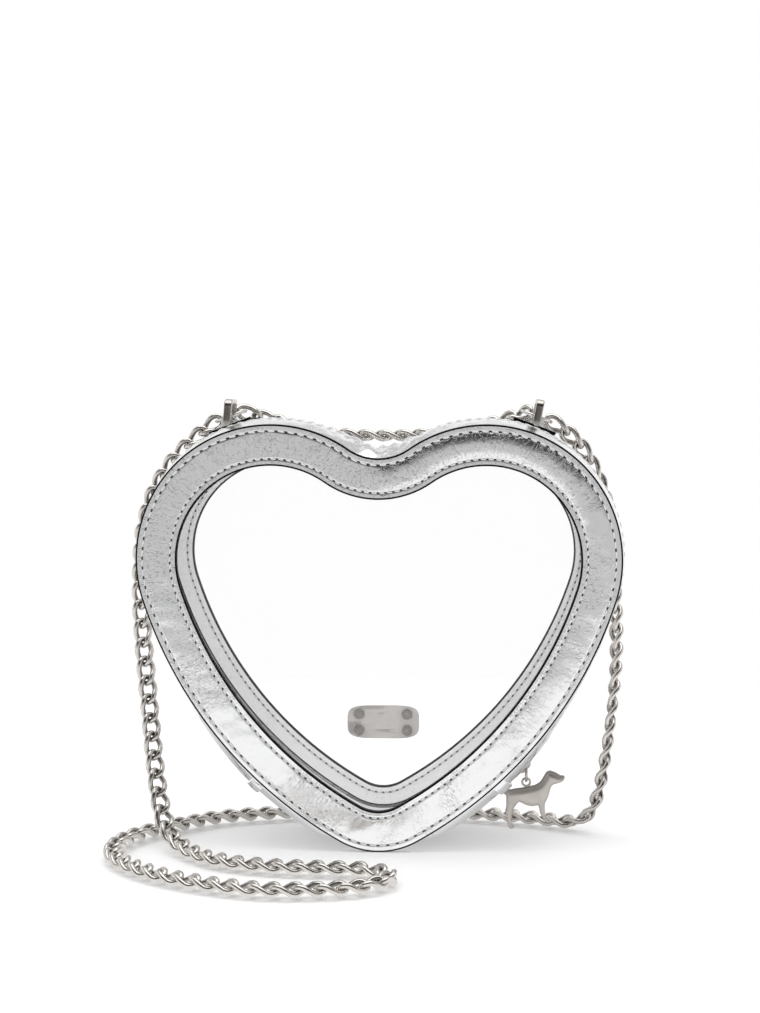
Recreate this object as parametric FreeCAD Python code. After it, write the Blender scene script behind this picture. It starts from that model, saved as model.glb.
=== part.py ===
import FreeCAD, Part
import math
import os
from FreeCAD import Placement, Rotation, Vector

# Heart shaped panels
HEART_WIDTH = 190.0
HEART_HEIGHT = 168.0
LOBE_RADIUS = 53.0
TIP_RADIUS = 31.0
DIP_RADIUS = 20.5
FLANK_RADIUS = 168.0
BAG_DEPTH = 50.0
BORDER_WIDTH = 16.2
BORDER_THICKNESS = 1.6
WINDOW_THICKNESS = 0.6
WINDOW_INSET = 0.8
FACING_THICKNESS = 0.8
FACING_INSET = 8.0

# Gusset between the panels
GUSSET_THICKNESS = 1.2
GUSSET_BULGE = 2.0
FLANGE_WIDTH = 7.0
ZIP_END_HEIGHT = 29.2
END_TAB_LENGTH = 6.0
END_TAB_THICKNESS = 1.4

# Zip
ZIP_OPENING = 8.0
TAPE_WIDTH = 11.0
TAPE_THICKNESS = 0.6
TAPE_CLEARANCE = 0.05
COIL_WIDTH = 2.0
COIL_HEIGHT = 1.4
COIL_GAP = 1.2
STOP_LENGTH = 1.4
STOP_MARGIN = 0.4
STOP_HEIGHT = 1.6

# Zip slider and its pull
SLIDER_FROM_END = 6.4
SLIDER_LENGTH = 8.0
SLIDER_WIDTH = 7.0
SLIDER_PLATE = 1.2
SLIDER_WEB = 0.5
SLIDER_WEB_LENGTH = 5.0
SLIDER_CLEARANCE = 0.3
BAIL_WIRE = 1.2
BAIL_LENGTH = 6.0
BAIL_GAP = 3.0
PULL_RING_RADIUS = 3.4
PULL_RING_WIRE = 1.0
PULL_CLEARANCE = 0.15
EYE_RADIUS = 2.05
EYE_HOLE_RADIUS = 1.1
EYE_THICKNESS = 1.4
EYE_HANG = 0.5
CHARM_WIDTH = 24.6
CHARM_HEIGHT = 24.0
CHARM_THICKNESS = 2.4

# D rings and their tabs
TAB_FROM_LOBE = 19.0
TAB_LENGTH = 17.0
TAB_WIDTH = 9.0
TAB_THICKNESS = 1.4
TAB_FROM_MIDDLE = 12.8
TAB_LIFT = 1.1
TAB_WALL = 1.1
BAR_RADIUS = 1.2
BAR_CLEARANCE = 0.05
RING_OPENING = 16.0
RING_HEIGHT = 9.2
RING_STRIP = 2.2
RING_BREADTH = 3.2
RING_CORNER = 3.0
RING_INNER_CORNER = 0.8

# Connector rings and chain
CONNECTOR_RADIUS = 6.4
CONNECTOR_WIRE = 1.4
CONNECTOR_CLEARANCE = 0.3
CONNECTOR_STANDOFF = 2.9
LINK_WIRE = 2.2
LINK_PITCH = 8.0
LINK_SLACK = 0.6
LINK_SIDE_GAP = 0.7
CHAIN_FROM_MIDDLE = 22.0
CHAIN_CLEARANCE = 0.3
SWAG_STANDOFF = 9.0
SWAG_DROP = 6.0
FLOOR_CLEARANCE = 0.6

# Emblem on the back window
EMBLEM_WIDTH = 30.0
EMBLEM_HEIGHT = 14.0
EMBLEM_CORNER = 5.0
EMBLEM_THICKNESS = 1.2
EMBLEM_LEVEL = 43.0
RIVET_SPREAD = 20.0
RIVET_RISE = 6.8
RIVET_RADIUS = 1.0
RIVET_HEAD_RADIUS = 1.5
RIVET_HEAD = 0.5
WASHER_RADIUS = 2.2
WASHER_THICKNESS = 0.6

# Angles in degrees
LEFT_RING_LEAN = 4.0
RIGHT_RING_LEAN = 11.0
LOBE_STEP_ANGLE = 20.0
TWIST_ANGLE = 45.0
SWAG_ANGLE = 45.0

# Route of the chain, across and back as shares of the heart's width, up as shares of its height
LEFT_DROP_SHARES = [(-0.532, 0.108, 0.58), (-0.520, 0.075, 0.455), (-0.500, 0.028, 0.315),
                    (-0.479, -0.036, 0.185), (-0.458, -0.092, 0.095), (-0.435, -0.138, 0.046)]
FRONT_FLOOR_SHARES = [(-0.390, -0.205), (-0.316, -0.284), (-0.205, -0.328), (-0.090, -0.336),
                      (0.004, -0.339), (0.040, -0.400), (0.004, -0.463), (-0.090, -0.492),
                      (-0.205, -0.500), (-0.326, -0.455), (-0.442, -0.379)]
LEFT_LOOP_SHARES = [(-0.526, -0.274), (-0.542, -0.168), (-0.510, -0.068), (-0.432, 0.021)]
REAR_FLOOR_SHARES = [(-0.358, 0.72), (-0.247, 1.02), (-0.126, 1.26), (0.0, 1.30),
                     (0.126, 1.24), (0.253, 1.06), (0.358, 0.76)]
RIGHT_FLOOR_SHARES = [(0.410, 0.072)]
RIGHT_DROP_SHARES = [(0.455, 0.052, 0.053), (0.477, 0.058, 0.150), (0.498, 0.087, 0.300),
                     (0.5105, 0.130, 0.430), (0.508, 0.163, 0.548)]
SWAG_SHARES = [(-0.272, -0.2), (-0.190, 0.48), (-0.095, 0.88), (0.0, 1.0), (0.095, 0.88), (0.190, 0.48), (0.272, -0.2)]
ARC_SHARE = 0.45

# Way points round the right lobe: turn as a share of a right angle, out and back as shares of the chain's level
RIGHT_SHOULDER_SHARES = [(-0.036, 0.0, 1.75), (0.216, 0.256, 1.63), (0.437, 0.907, 1.047), (0.587, 1.535, 0.23)]

# Outline of the dog as shares of the charm's width and height, from its tail round to its rump
DOG_SHARES = [(0.005, 0.605), (0.057, 0.656), (0.115, 0.667), (0.209, 0.687), (0.313, 0.702), (0.418, 0.726),
              (0.522, 0.753), (0.595, 0.801), (0.642, 0.868), (0.678, 0.935), (0.715, 0.981), (0.762, 0.995),
              (0.809, 0.982), (0.861, 0.960), (0.929, 0.919), (0.992, 0.909), (0.997, 0.866), (0.960, 0.812),
              (0.887, 0.782), (0.814, 0.758), (0.772, 0.704), (0.749, 0.608), (0.715, 0.511), (0.681, 0.441),
              (0.678, 0.349), (0.691, 0.247), (0.736, 0.183), (0.788, 0.134), (0.736, 0.108), (0.678, 0.126),
              (0.635, 0.199), (0.600, 0.285), (0.581, 0.376), (0.558, 0.403), (0.470, 0.389), (0.365, 0.411),
              (0.261, 0.457), (0.209, 0.409), (0.159, 0.328), (0.138, 0.242), (0.134, 0.134), (0.151, 0.081),
              (0.186, 0.038), (0.141, 0.002), (0.092, 0.018), (0.071, 0.091), (0.054, 0.188), (0.029, 0.290),
              (0.045, 0.371), (0.045, 0.478), (0.042, 0.565)]
EYE_SHARE = (0.371, 0.796)

# Sizes that follow from the ones above
HALF_DEPTH = BAG_DEPTH / 2
WINDOW_FACE = HALF_DEPTH - BORDER_THICKNESS
SEAM = WINDOW_FACE - WINDOW_THICKNESS
ZIP_HALF = ZIP_OPENING / 2
TAPE_INNER = COIL_GAP / 2
TAPE_OUTER = TAPE_INNER + TAPE_WIDTH
COIL_OUTER = TAPE_INNER + COIL_WIDTH
TAPE_TOP = -GUSSET_THICKNESS - TAPE_CLEARANCE
TAPE_UNDER = GUSSET_BULGE + TAPE_TOP - TAPE_THICKNESS
COIL_TOP = GUSSET_BULGE + TAPE_TOP + COIL_HEIGHT
PLATE_UNDER = COIL_TOP + SLIDER_CLEARANCE
PLATE_TOP = PLATE_UNDER + SLIDER_PLATE
BAIL_LEVEL = PLATE_TOP + BAIL_GAP + BAIL_WIRE / 2
LINK_INNER_LENGTH = LINK_PITCH + LINK_SLACK
LINK_INNER_WIDTH = LINK_WIRE + 2 * LINK_SIDE_GAP
LINK_HALF_WIDTH = LINK_INNER_WIDTH / 2 + LINK_WIRE
CHAIN_LEVEL = LINK_HALF_WIDTH + CHAIN_CLEARANCE
ACROSS = Vector(0, 1, 0)
UP = Vector(0, 0, 1)

os.makedirs("parts", exist_ok=True)


def save(name, solids):
    """Write the solids of one node as a step file."""
    shape = solids[0] if len(solids) == 1 else Part.makeCompound(solids)
    shape.exportStep("parts/" + name + ".step")
    print(name, "solids", len(shape.Solids), "volume", round(shape.Volume, 1), "valid", shape.isValid())


# Heart outline: tip, flank and lobe arcs that bulge out, and the dip arc that bulges in
LOBE_X = HEART_WIDTH / 2 - LOBE_RADIUS
LOBE_Z = HEART_HEIGHT - LOBE_RADIUS
LOBE = Vector(LOBE_X, 0, LOBE_Z)
TIP = Vector(0, 0, TIP_RADIUS)
DIP = Vector(0, 0, LOBE_Z + math.sqrt((LOBE_RADIUS + DIP_RADIUS) ** 2 - LOBE_X ** 2))


def flank_centre():
    """Centre of the flank arc that touches the lobe and the tip from outside."""
    to_lobe = FLANK_RADIUS - LOBE_RADIUS
    to_tip = FLANK_RADIUS - TIP_RADIUS
    span = TIP.sub(LOBE)
    along = (to_lobe ** 2 - to_tip ** 2 + span.Length ** 2) / (2 * span.Length)
    aside = math.sqrt(to_lobe ** 2 - along ** 2)
    unit = Vector(span).normalize()
    return LOBE + unit * along + unit.cross(ACROSS) * -aside


def angle_of(vector):
    """Angle of a direction in the panel's plane, from across to up."""
    return math.atan2(vector.z, vector.x)


FLANK = flank_centre()
TIP_END = angle_of(TIP.sub(FLANK))
LOBE_START = angle_of(LOBE.sub(FLANK))
LOBE_END = angle_of(DIP.sub(LOBE))
DIP_START = angle_of(LOBE.sub(DIP))
SEAM_ANGLE = math.asin((ZIP_END_HEIGHT - FLANK.z) / FLANK_RADIUS)


def mirrored(centre):
    """Point on the other side of the middle of the heart."""
    return Vector(-centre.x, centre.y, centre.z)


def polar(centre, radius, angle, depth):
    """Point at an angle round a centre in the panel's plane."""
    return Vector(centre.x + radius * math.cos(angle), depth, centre.z + radius * math.sin(angle))


def outline(offset, depth):
    """Closed heart wire, grown outwards by the offset, at one depth."""
    right = math.pi
    spans = [(TIP, TIP_RADIUS + offset, -right - TIP_END, TIP_END),
             (FLANK, FLANK_RADIUS + offset, TIP_END, LOBE_START),
             (LOBE, LOBE_RADIUS + offset, LOBE_START, LOBE_END),
             (DIP, DIP_RADIUS - offset, DIP_START, -right - DIP_START),
             (mirrored(LOBE), LOBE_RADIUS + offset, right - LOBE_END, right - LOBE_START),
             (mirrored(FLANK), FLANK_RADIUS + offset, right - LOBE_START, right - TIP_END)]
    edges = []
    for centre, radius, start, end in spans:
        ends = [polar(centre, radius, angle, depth) for angle in (start, (start + end) / 2, end)]
        edges.append(Part.Arc(*ends).toShape())
    return Part.Wire(Part.__sortEdges__(edges))


def heart_plate(offset, depth, thickness):
    """Heart shaped sheet from one depth backwards."""
    return Part.Face(outline(offset, depth)).extrude(Vector(0, thickness, 0))


def heart_ring(outer, inner, depth, thickness):
    """Heart shaped ring between two offsets."""
    return heart_plate(outer, depth, thickness).cut(heart_plate(inner, depth, thickness))


# Gusset sections are drawn as offset from the outline against depth, then turned about each arc's centre
TOP_SPANS = [(FLANK, FLANK_RADIUS, 1, SEAM_ANGLE, LOBE_START),
             (LOBE, LOBE_RADIUS, 1, LOBE_START, LOBE_END),
             (DIP, DIP_RADIUS, -1, DIP_START, -math.pi - DIP_START),
             (mirrored(LOBE), LOBE_RADIUS, 1, math.pi - LOBE_END, math.pi - LOBE_START),
             (mirrored(FLANK), FLANK_RADIUS, 1, math.pi - LOBE_START, math.pi - SEAM_ANGLE)]
BOTTOM_SPANS = [(mirrored(FLANK), FLANK_RADIUS, 1, math.pi - SEAM_ANGLE, math.pi - TIP_END),
                (TIP, TIP_RADIUS, 1, -math.pi - TIP_END, TIP_END),
                (FLANK, FLANK_RADIUS, 1, TIP_END, SEAM_ANGLE)]


def shortened(spans, length):
    """The same spans with a length taken off at both far ends."""
    first = spans[0]
    last = spans[-1]
    head = (first[0], first[1], first[2], first[3] + length / first[1], first[4])
    tail = (last[0], last[1], last[2], last[3], last[4] - length / last[1])
    return [head] + spans[1:-1] + [tail]


def arch(depth):
    """Rise of the bulged gusset above the outline at one depth."""
    radius = (SEAM ** 2 + GUSSET_BULGE ** 2) / (2 * GUSSET_BULGE)
    return math.sqrt(radius ** 2 - depth ** 2) - radius + GUSSET_BULGE


def section(corners, arcs, centre, radius, sign, angle):
    """Face through (offset, depth) corners; arcs names the mid point of each curved side."""
    points = [polar(centre, radius + sign * offset, angle, depth) for offset, depth in corners]
    edges = []
    for index, point in enumerate(points):
        after = points[(index + 1) % len(points)]
        if index in arcs:
            offset, depth = arcs[index]
            middle = polar(centre, radius + sign * offset, angle, depth)
            edges.append(Part.Arc(point, middle, after).toShape())
        else:
            edges.append(Part.makeLine(point, after))
    return Part.Face(Part.Wire(edges))


def swept(corners, arcs, spans):
    """Solid made by turning one section along a row of arcs."""
    solids = []
    for centre, radius, sign, start, end in spans:
        face = section(corners, arcs, centre, radius, sign, start)
        solids.append(face.revolve(centre, ACROSS, math.degrees(start - end)))
    body = solids[0]
    for solid in solids[1:]:
        body = body.fuse(solid)
    return body


def arched_strip(near, far, over, under):
    """Section of a strip that follows the arch between two depths, from under it to over it."""
    middle = (near + far) / 2
    corners = [(arch(near) + over, near), (arch(far) + over, far), (arch(far) + under, far), (arch(near) + under, near)]
    return corners, {0: (arch(middle) + over, middle), 2: (arch(middle) + under, middle)}


def edges_along(block, axis, above):
    """Edges of a block that run along an axis and lie above a height."""
    return [edge for edge in block.Edges if abs(edge.Curve.Direction.dot(axis)) > 0.9 and edge.CenterOfMass.z > above]


# Front and back panels
front_border = heart_ring(0, -BORDER_WIDTH, -HALF_DEPTH, BORDER_THICKNESS)
front_window = heart_plate(-WINDOW_INSET, -WINDOW_FACE, WINDOW_THICKNESS)
front_facing = heart_ring(-FACING_INSET, -BORDER_WIDTH, -SEAM, FACING_THICKNESS)
back_border = heart_ring(0, -BORDER_WIDTH, WINDOW_FACE, BORDER_THICKNESS)
back_sheet = heart_plate(-WINDOW_INSET, SEAM, WINDOW_THICKNESS)
back_facing = heart_ring(-FACING_INSET, -BORDER_WIDTH, SEAM - FACING_THICKNESS, FACING_THICKNESS)
save("front_border", [front_border])
save("front_window", [front_window])
save("front_facing", [front_facing])
save("back_border", [back_border])
save("back_facing", [back_facing])

# Emblem plate outside the back window, held by four rivets with washers inside
emblem = Part.makeBox(EMBLEM_WIDTH, EMBLEM_THICKNESS, EMBLEM_HEIGHT,
                      Vector(-EMBLEM_WIDTH / 2, WINDOW_FACE, EMBLEM_LEVEL - EMBLEM_HEIGHT / 2))
emblem = emblem.makeFillet(EMBLEM_CORNER, edges_along(emblem, ACROSS, 0))
rivets = []
washers = []
rivet_holes = []
for side in (-1, 1):
    for rise in (-1, 1):
        place = Vector(side * RIVET_SPREAD / 2, 0, EMBLEM_LEVEL + rise * RIVET_RISE / 2)
        shank = Part.makeCylinder(RIVET_RADIUS, WINDOW_THICKNESS + WASHER_THICKNESS,
                                  place + ACROSS * (SEAM - WASHER_THICKNESS), ACROSS)
        head = Part.makeCylinder(RIVET_HEAD_RADIUS, RIVET_HEAD,
                                 place + ACROSS * (SEAM - WASHER_THICKNESS - RIVET_HEAD), ACROSS)
        rivets.append(shank.fuse(head))
        disc = Part.makeCylinder(WASHER_RADIUS, WASHER_THICKNESS, place + ACROSS * (SEAM - WASHER_THICKNESS), ACROSS)
        washers.append(disc.cut(shank))
        rivet_holes.append(shank)
save("back_window", [back_sheet.cut(Part.makeCompound(rivet_holes))])
save("emblem_plate", [emblem])
save("emblem_rivets", rivets)
save("emblem_washers", washers)

# Bottom gusset: a channel round the tip with a flange against each panel
inner = SEAM - GUSSET_THICKNESS
channel = [(0, -SEAM), (0, SEAM), (-FLANGE_WIDTH, SEAM), (-FLANGE_WIDTH, inner), (-GUSSET_THICKNESS, inner),
           (-GUSSET_THICKNESS, -inner), (-FLANGE_WIDTH, -inner), (-FLANGE_WIDTH, -SEAM)]
save("gusset_bottom", [swept(channel, {}, BOTTOM_SPANS)])


# Zip gusset: two bulged strips with a flange each, and the zip between them
def zip_strip(side):
    """Section of the strip on one side of the zip."""
    middle = (SEAM + ZIP_HALF) / 2
    low = (inner + ZIP_HALF) / 2
    corners = [(0, side * SEAM), (arch(ZIP_HALF), side * ZIP_HALF),
               (arch(ZIP_HALF) - GUSSET_THICKNESS, side * ZIP_HALF),
               (arch(inner) - GUSSET_THICKNESS, side * inner), (-FLANGE_WIDTH, side * inner), (-FLANGE_WIDTH, side * SEAM)]
    arcs = {0: (arch(middle), side * middle), 2: (arch(low) - GUSSET_THICKNESS, side * low)}
    return corners, arcs


stop_zone = STOP_MARGIN + STOP_LENGTH + STOP_MARGIN
coil_spans = shortened(TOP_SPANS, stop_zone)
for side, word in ((-1, "front"), (1, "back")):
    save("zip_gusset_" + word, [swept(*zip_strip(side), TOP_SPANS)])
    tape = arched_strip(side * TAPE_OUTER, side * TAPE_INNER, TAPE_TOP, TAPE_TOP - TAPE_THICKNESS)
    save("zip_tape_" + word, [swept(*tape, TOP_SPANS)])
    coil = arched_strip(side * COIL_OUTER, side * TAPE_INNER, TAPE_TOP + COIL_HEIGHT, TAPE_TOP)
    save("zip_coil_" + word, [swept(*coil, coil_spans)])


def seat(centre, radius, angle):
    """Placement with its third axis out of the outline and its first axis clockwise along it."""
    return Placement(polar(centre, radius, angle, 0), Rotation(ACROSS, math.degrees(math.pi / 2 - angle)))


def seated_box(place, along, wide, low, high, shift, across):
    """Box on a seat, centred along it, between two heights."""
    corner = Vector(shift - along / 2, across - wide / 2, low)
    box = Part.makeBox(along, wide, high - low, corner)
    box.Placement = place
    return box


# Stops at both ends of the coils
stop_low = GUSSET_BULGE + TAPE_TOP
half_stop = STOP_MARGIN + STOP_LENGTH / 2
right_end = seat(FLANK, FLANK_RADIUS, SEAM_ANGLE + half_stop / FLANK_RADIUS)
left_end = seat(mirrored(FLANK), FLANK_RADIUS, math.pi - SEAM_ANGLE - half_stop / FLANK_RADIUS)
top_stops = []
for side in (-1, 1):
    across = side * (TAPE_INNER + COIL_WIDTH / 2)
    top_stops.append(seated_box(right_end, STOP_LENGTH, COIL_WIDTH, stop_low, stop_low + STOP_HEIGHT, 0, across))
save("zip_top_stops", top_stops)
save("zip_bottom_stop", [seated_box(left_end, STOP_LENGTH, 2 * COIL_OUTER, stop_low, stop_low + STOP_HEIGHT, 0, 0)])

# Leather tabs across the ends of the zip
tab_section = [(0, -SEAM), (0, SEAM), (END_TAB_THICKNESS, SEAM), (END_TAB_THICKNESS, -SEAM)]
tab_arc = {2: (GUSSET_BULGE + END_TAB_THICKNESS, 0)}
tab_turn = END_TAB_LENGTH / FLANK_RADIUS
right_span = [(FLANK, FLANK_RADIUS, 1, SEAM_ANGLE - tab_turn, SEAM_ANGLE)]
left_span = [(mirrored(FLANK), FLANK_RADIUS, 1, math.pi - SEAM_ANGLE, math.pi - SEAM_ANGLE + tab_turn)]
save("zip_end_tab_right", [swept(tab_section, tab_arc, right_span)])
save("zip_end_tab_left", [swept(tab_section, tab_arc, left_span)])

# Zip slider at the closed end: two plates joined by a web between the coils, with a wire bail
slider_angle = SEAM_ANGLE + SLIDER_FROM_END / FLANK_RADIUS
slider_seat = seat(FLANK, FLANK_RADIUS, slider_angle)
low_top = TAPE_UNDER - SLIDER_CLEARANCE
slider = seated_box(slider_seat, SLIDER_LENGTH, SLIDER_WIDTH, PLATE_UNDER, PLATE_TOP, 0, 0)
slider = slider.fuse(seated_box(slider_seat, SLIDER_LENGTH, SLIDER_WIDTH, low_top - SLIDER_PLATE, low_top, 0, 0))
slider = slider.fuse(seated_box(slider_seat, SLIDER_WEB_LENGTH, SLIDER_WEB, low_top, PLATE_UNDER, 0, 0))
for end in (-1, 1):
    slider = slider.fuse(seated_box(slider_seat, BAIL_WIRE, BAIL_WIRE, PLATE_TOP, BAIL_LEVEL, end * BAIL_LENGTH / 2, 0))
bail = Part.makeCylinder(BAIL_WIRE / 2, BAIL_LENGTH + BAIL_WIRE,
                         Vector(-BAIL_LENGTH / 2 - BAIL_WIRE / 2, 0, BAIL_LEVEL), Vector(1, 0, 0))
bail.Placement = slider_seat
save("zip_slider", [slider.fuse(bail)])

# Pull ring hanging in the bail, and the charm hanging from it
bail_middle = polar(FLANK, FLANK_RADIUS + BAIL_LEVEL, slider_angle, 0)
PULL_LIFT = (BAIL_WIRE / 2 + PULL_RING_WIRE / 2 + PULL_CLEARANCE) / abs(math.sin(slider_angle))
ring_middle = bail_middle + UP * (PULL_LIFT - PULL_RING_RADIUS)
save("pull_ring", [Part.makeTorus(PULL_RING_RADIUS, PULL_RING_WIRE / 2, ring_middle, Vector(1, 0, 0))])
ring_low = ring_middle + UP * -PULL_RING_RADIUS
eye = ring_low + UP * -EYE_HANG
dog_corner = eye - Vector(EYE_SHARE[0] * CHARM_WIDTH, CHARM_THICKNESS / 2, EYE_SHARE[1] * CHARM_HEIGHT)
dog_points = [dog_corner + Vector(across * CHARM_WIDTH, 0, up * CHARM_HEIGHT) for across, up in DOG_SHARES]
dog_curve = Part.BSplineCurve()
dog_curve.interpolate(Points=dog_points, PeriodicFlag=True)
dog = Part.Face(Part.Wire([dog_curve.toShape()])).extrude(ACROSS * CHARM_THICKNESS)
eye_front = eye + ACROSS * (-EYE_THICKNESS / 2)
eye_disc = Part.makeCylinder(EYE_RADIUS, EYE_THICKNESS, eye_front, ACROSS)
eye_hole = Part.makeCylinder(EYE_HOLE_RADIUS, CHARM_THICKNESS, eye + ACROSS * (-CHARM_THICKNESS / 2), ACROSS)
save("dog_charm", [dog.fuse(eye_disc).cut(eye_hole)])

# Leather tabs and D rings on the rear strip
TAB_TURN = math.asin(TAB_FROM_LOBE / LOBE_RADIUS)
TAB_NEAR = TAB_FROM_MIDDLE - TAB_WIDTH / 2
TAB_FAR = TAB_FROM_MIDDLE + TAB_WIDTH / 2
BAR_LEVEL = arch(TAB_NEAR) + BAR_RADIUS + BAR_CLEARANCE + TAB_LIFT
CONNECTOR_LEVEL = BAR_LEVEL + BAR_RADIUS + CONNECTOR_CLEARANCE + CONNECTOR_WIRE / 2
CONNECTOR_DEPTH = TAB_FROM_MIDDLE + RING_OPENING / 2 + CONNECTOR_STANDOFF + CONNECTOR_CLEARANCE + LINK_WIRE / 4


def ring_tab(centre, angle):
    """Tab that follows the strip and arches over the bar of its ring."""
    half_turn = TAB_LENGTH / 2 / LOBE_RADIUS
    span = [(centre, LOBE_RADIUS, 1, angle - half_turn, angle + half_turn)]
    plate = swept(*arched_strip(TAB_NEAR, TAB_FAR, TAB_THICKNESS, 0), span)
    under = swept(*arched_strip(TAB_NEAR, TAB_FAR, 0, -LOBE_RADIUS / 2), span)
    axis = polar(centre, LOBE_RADIUS + BAR_LEVEL, angle, TAB_NEAR)
    hump = Part.makeCylinder(BAR_RADIUS + BAR_CLEARANCE + TAB_WALL, TAB_WIDTH, axis, ACROSS)
    hole = Part.makeCylinder(BAR_RADIUS + BAR_CLEARANCE, TAB_WIDTH, axis, ACROSS)
    foot = Part.makeBox(2 * BAR_RADIUS, TAB_WIDTH, BAR_LEVEL, Vector(-BAR_RADIUS, TAB_NEAR, 0))
    foot.Placement = seat(centre, LOBE_RADIUS, angle)
    return plate.fuse([hump, foot]).cut(under).cut(hole)


def d_ring(centre, angle, lean):
    """Flat ring with a round bar, leaning about the bar."""
    half_in = RING_OPENING / 2
    half_out = half_in + RING_STRIP
    top = RING_HEIGHT - RING_STRIP
    side = Vector(1, 0, 0)
    outer = Part.makeBox(RING_BREADTH, 2 * half_out, RING_HEIGHT, Vector(-RING_BREADTH / 2, -half_out, 0))
    opening = Part.makeBox(RING_BREADTH, 2 * half_in, top, Vector(-RING_BREADTH / 2, -half_in, 0))
    outer = outer.makeFillet(RING_CORNER, edges_along(outer, side, 0))
    body = outer.cut(opening.makeFillet(RING_INNER_CORNER, edges_along(opening, side, 0)))
    for start in (-half_out, half_in):
        body = body.fuse(Part.makeCylinder(RING_BREADTH / 2, RING_STRIP, Vector(0, start, 0), ACROSS))
    body = body.fuse(Part.makeCylinder(BAR_RADIUS, 2 * half_in, Vector(0, -half_in, 0), ACROSS))
    body.Placement = Placement(polar(centre, LOBE_RADIUS + BAR_LEVEL, angle, TAB_FROM_MIDDLE), Rotation(ACROSS, lean))
    return body


right_turn = math.pi / 2 - TAB_TURN
left_turn = math.pi / 2 + TAB_TURN
save("ring_tab_left", [ring_tab(mirrored(LOBE), left_turn)])
save("ring_tab_right", [ring_tab(LOBE, right_turn)])
save("d_ring_left", [d_ring(mirrored(LOBE), left_turn, LEFT_RING_LEAN)])
save("d_ring_right", [d_ring(LOBE, right_turn, RIGHT_RING_LEAN)])

# Connector rings lying round the rear limb of each D ring
left_connector = polar(mirrored(LOBE), LOBE_RADIUS + CONNECTOR_LEVEL, left_turn, CONNECTOR_DEPTH)
right_connector = mirrored(left_connector)
left_out = polar(Vector(0, 0, 0), 1, left_turn, 0)
right_out = mirrored(left_out)
save("connector_left", [Part.makeTorus(CONNECTOR_RADIUS, CONNECTOR_WIRE / 2, left_connector, left_out)])
save("connector_right", [Part.makeTorus(CONNECTOR_RADIUS, CONNECTOR_WIRE / 2, right_connector, right_out)])


# One chain link: two straight sides and two round ends
def chain_link():
    """Link along the first axis with its width along the second."""
    bend = LINK_INNER_WIDTH / 2 + LINK_WIRE / 2
    straight = LINK_INNER_LENGTH - LINK_INNER_WIDTH
    circle = Part.Wire([Part.makeCircle(LINK_WIRE / 2, Vector(-straight / 2, bend, 0), Vector(1, 0, 0))])
    side = Part.Face(circle).extrude(Vector(straight, 0, 0))
    end = Part.Face(circle).revolve(Vector(-straight / 2, 0, 0), UP, 180)
    other = Placement(Vector(0, 0, 0), Rotation(UP, 180))
    pieces = [end]
    for piece in (side, end):
        turned = piece.copy()
        turned.Placement = other.multiply(turned.Placement)
        pieces.append(turned)
    return side.fuse(pieces)


def smooth_route(points):
    """Straight runs joined by tangent arcs, as a fine row of points, with the smallest arc's radius."""
    fine = [points[0]]
    radii = []
    for before, corner, after in zip(points, points[1:], points[2:]):
        inward = corner.sub(before)
        outward = after.sub(corner)
        reach = ARC_SHARE * min(inward.Length, outward.Length)
        turn = inward.getAngle(outward)
        radii.append(reach / math.tan(turn / 2))
        start = corner - Vector(inward).normalize() * reach
        end = corner + Vector(outward).normalize() * reach
        towards = Vector((start + end) * 0.5 - corner).normalize()
        middle = corner + towards * (radii[-1] / math.cos(turn / 2) - radii[-1])
        fine.extend(Part.Arc(start, middle, end).toShape().discretize(Number=13))
    fine.append(points[-1])
    return fine, min(radii)


def measured(fine):
    """Length along a row of points up to each of them."""
    lengths = [0]
    for before, after in zip(fine, fine[1:]):
        lengths.append(lengths[-1] + before.distanceToPoint(after))
    return lengths


def point_at(fine, lengths, length):
    """Point at a length along a row of points."""
    for index in range(1, len(fine)):
        if length <= lengths[index] or index == len(fine) - 1:
            run = lengths[index] - lengths[index - 1]
            share = (length - lengths[index - 1]) / run if run > 0 else 0
            return fine[index - 1] + (fine[index] - fine[index - 1]) * share
    return fine[-1]


def square_to(vector, direction):
    """Unit part of a vector that is square to a direction."""
    return Vector(vector - direction * vector.dot(direction)).normalize()


def roll_between(start, end, axis):
    """Smallest turn about an axis that brings one width onto another, where half a turn changes nothing."""
    turn = math.degrees(math.atan2(axis.dot(start.cross(end)), start.dot(end)))
    return (turn + 90) % 180 - 90


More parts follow.
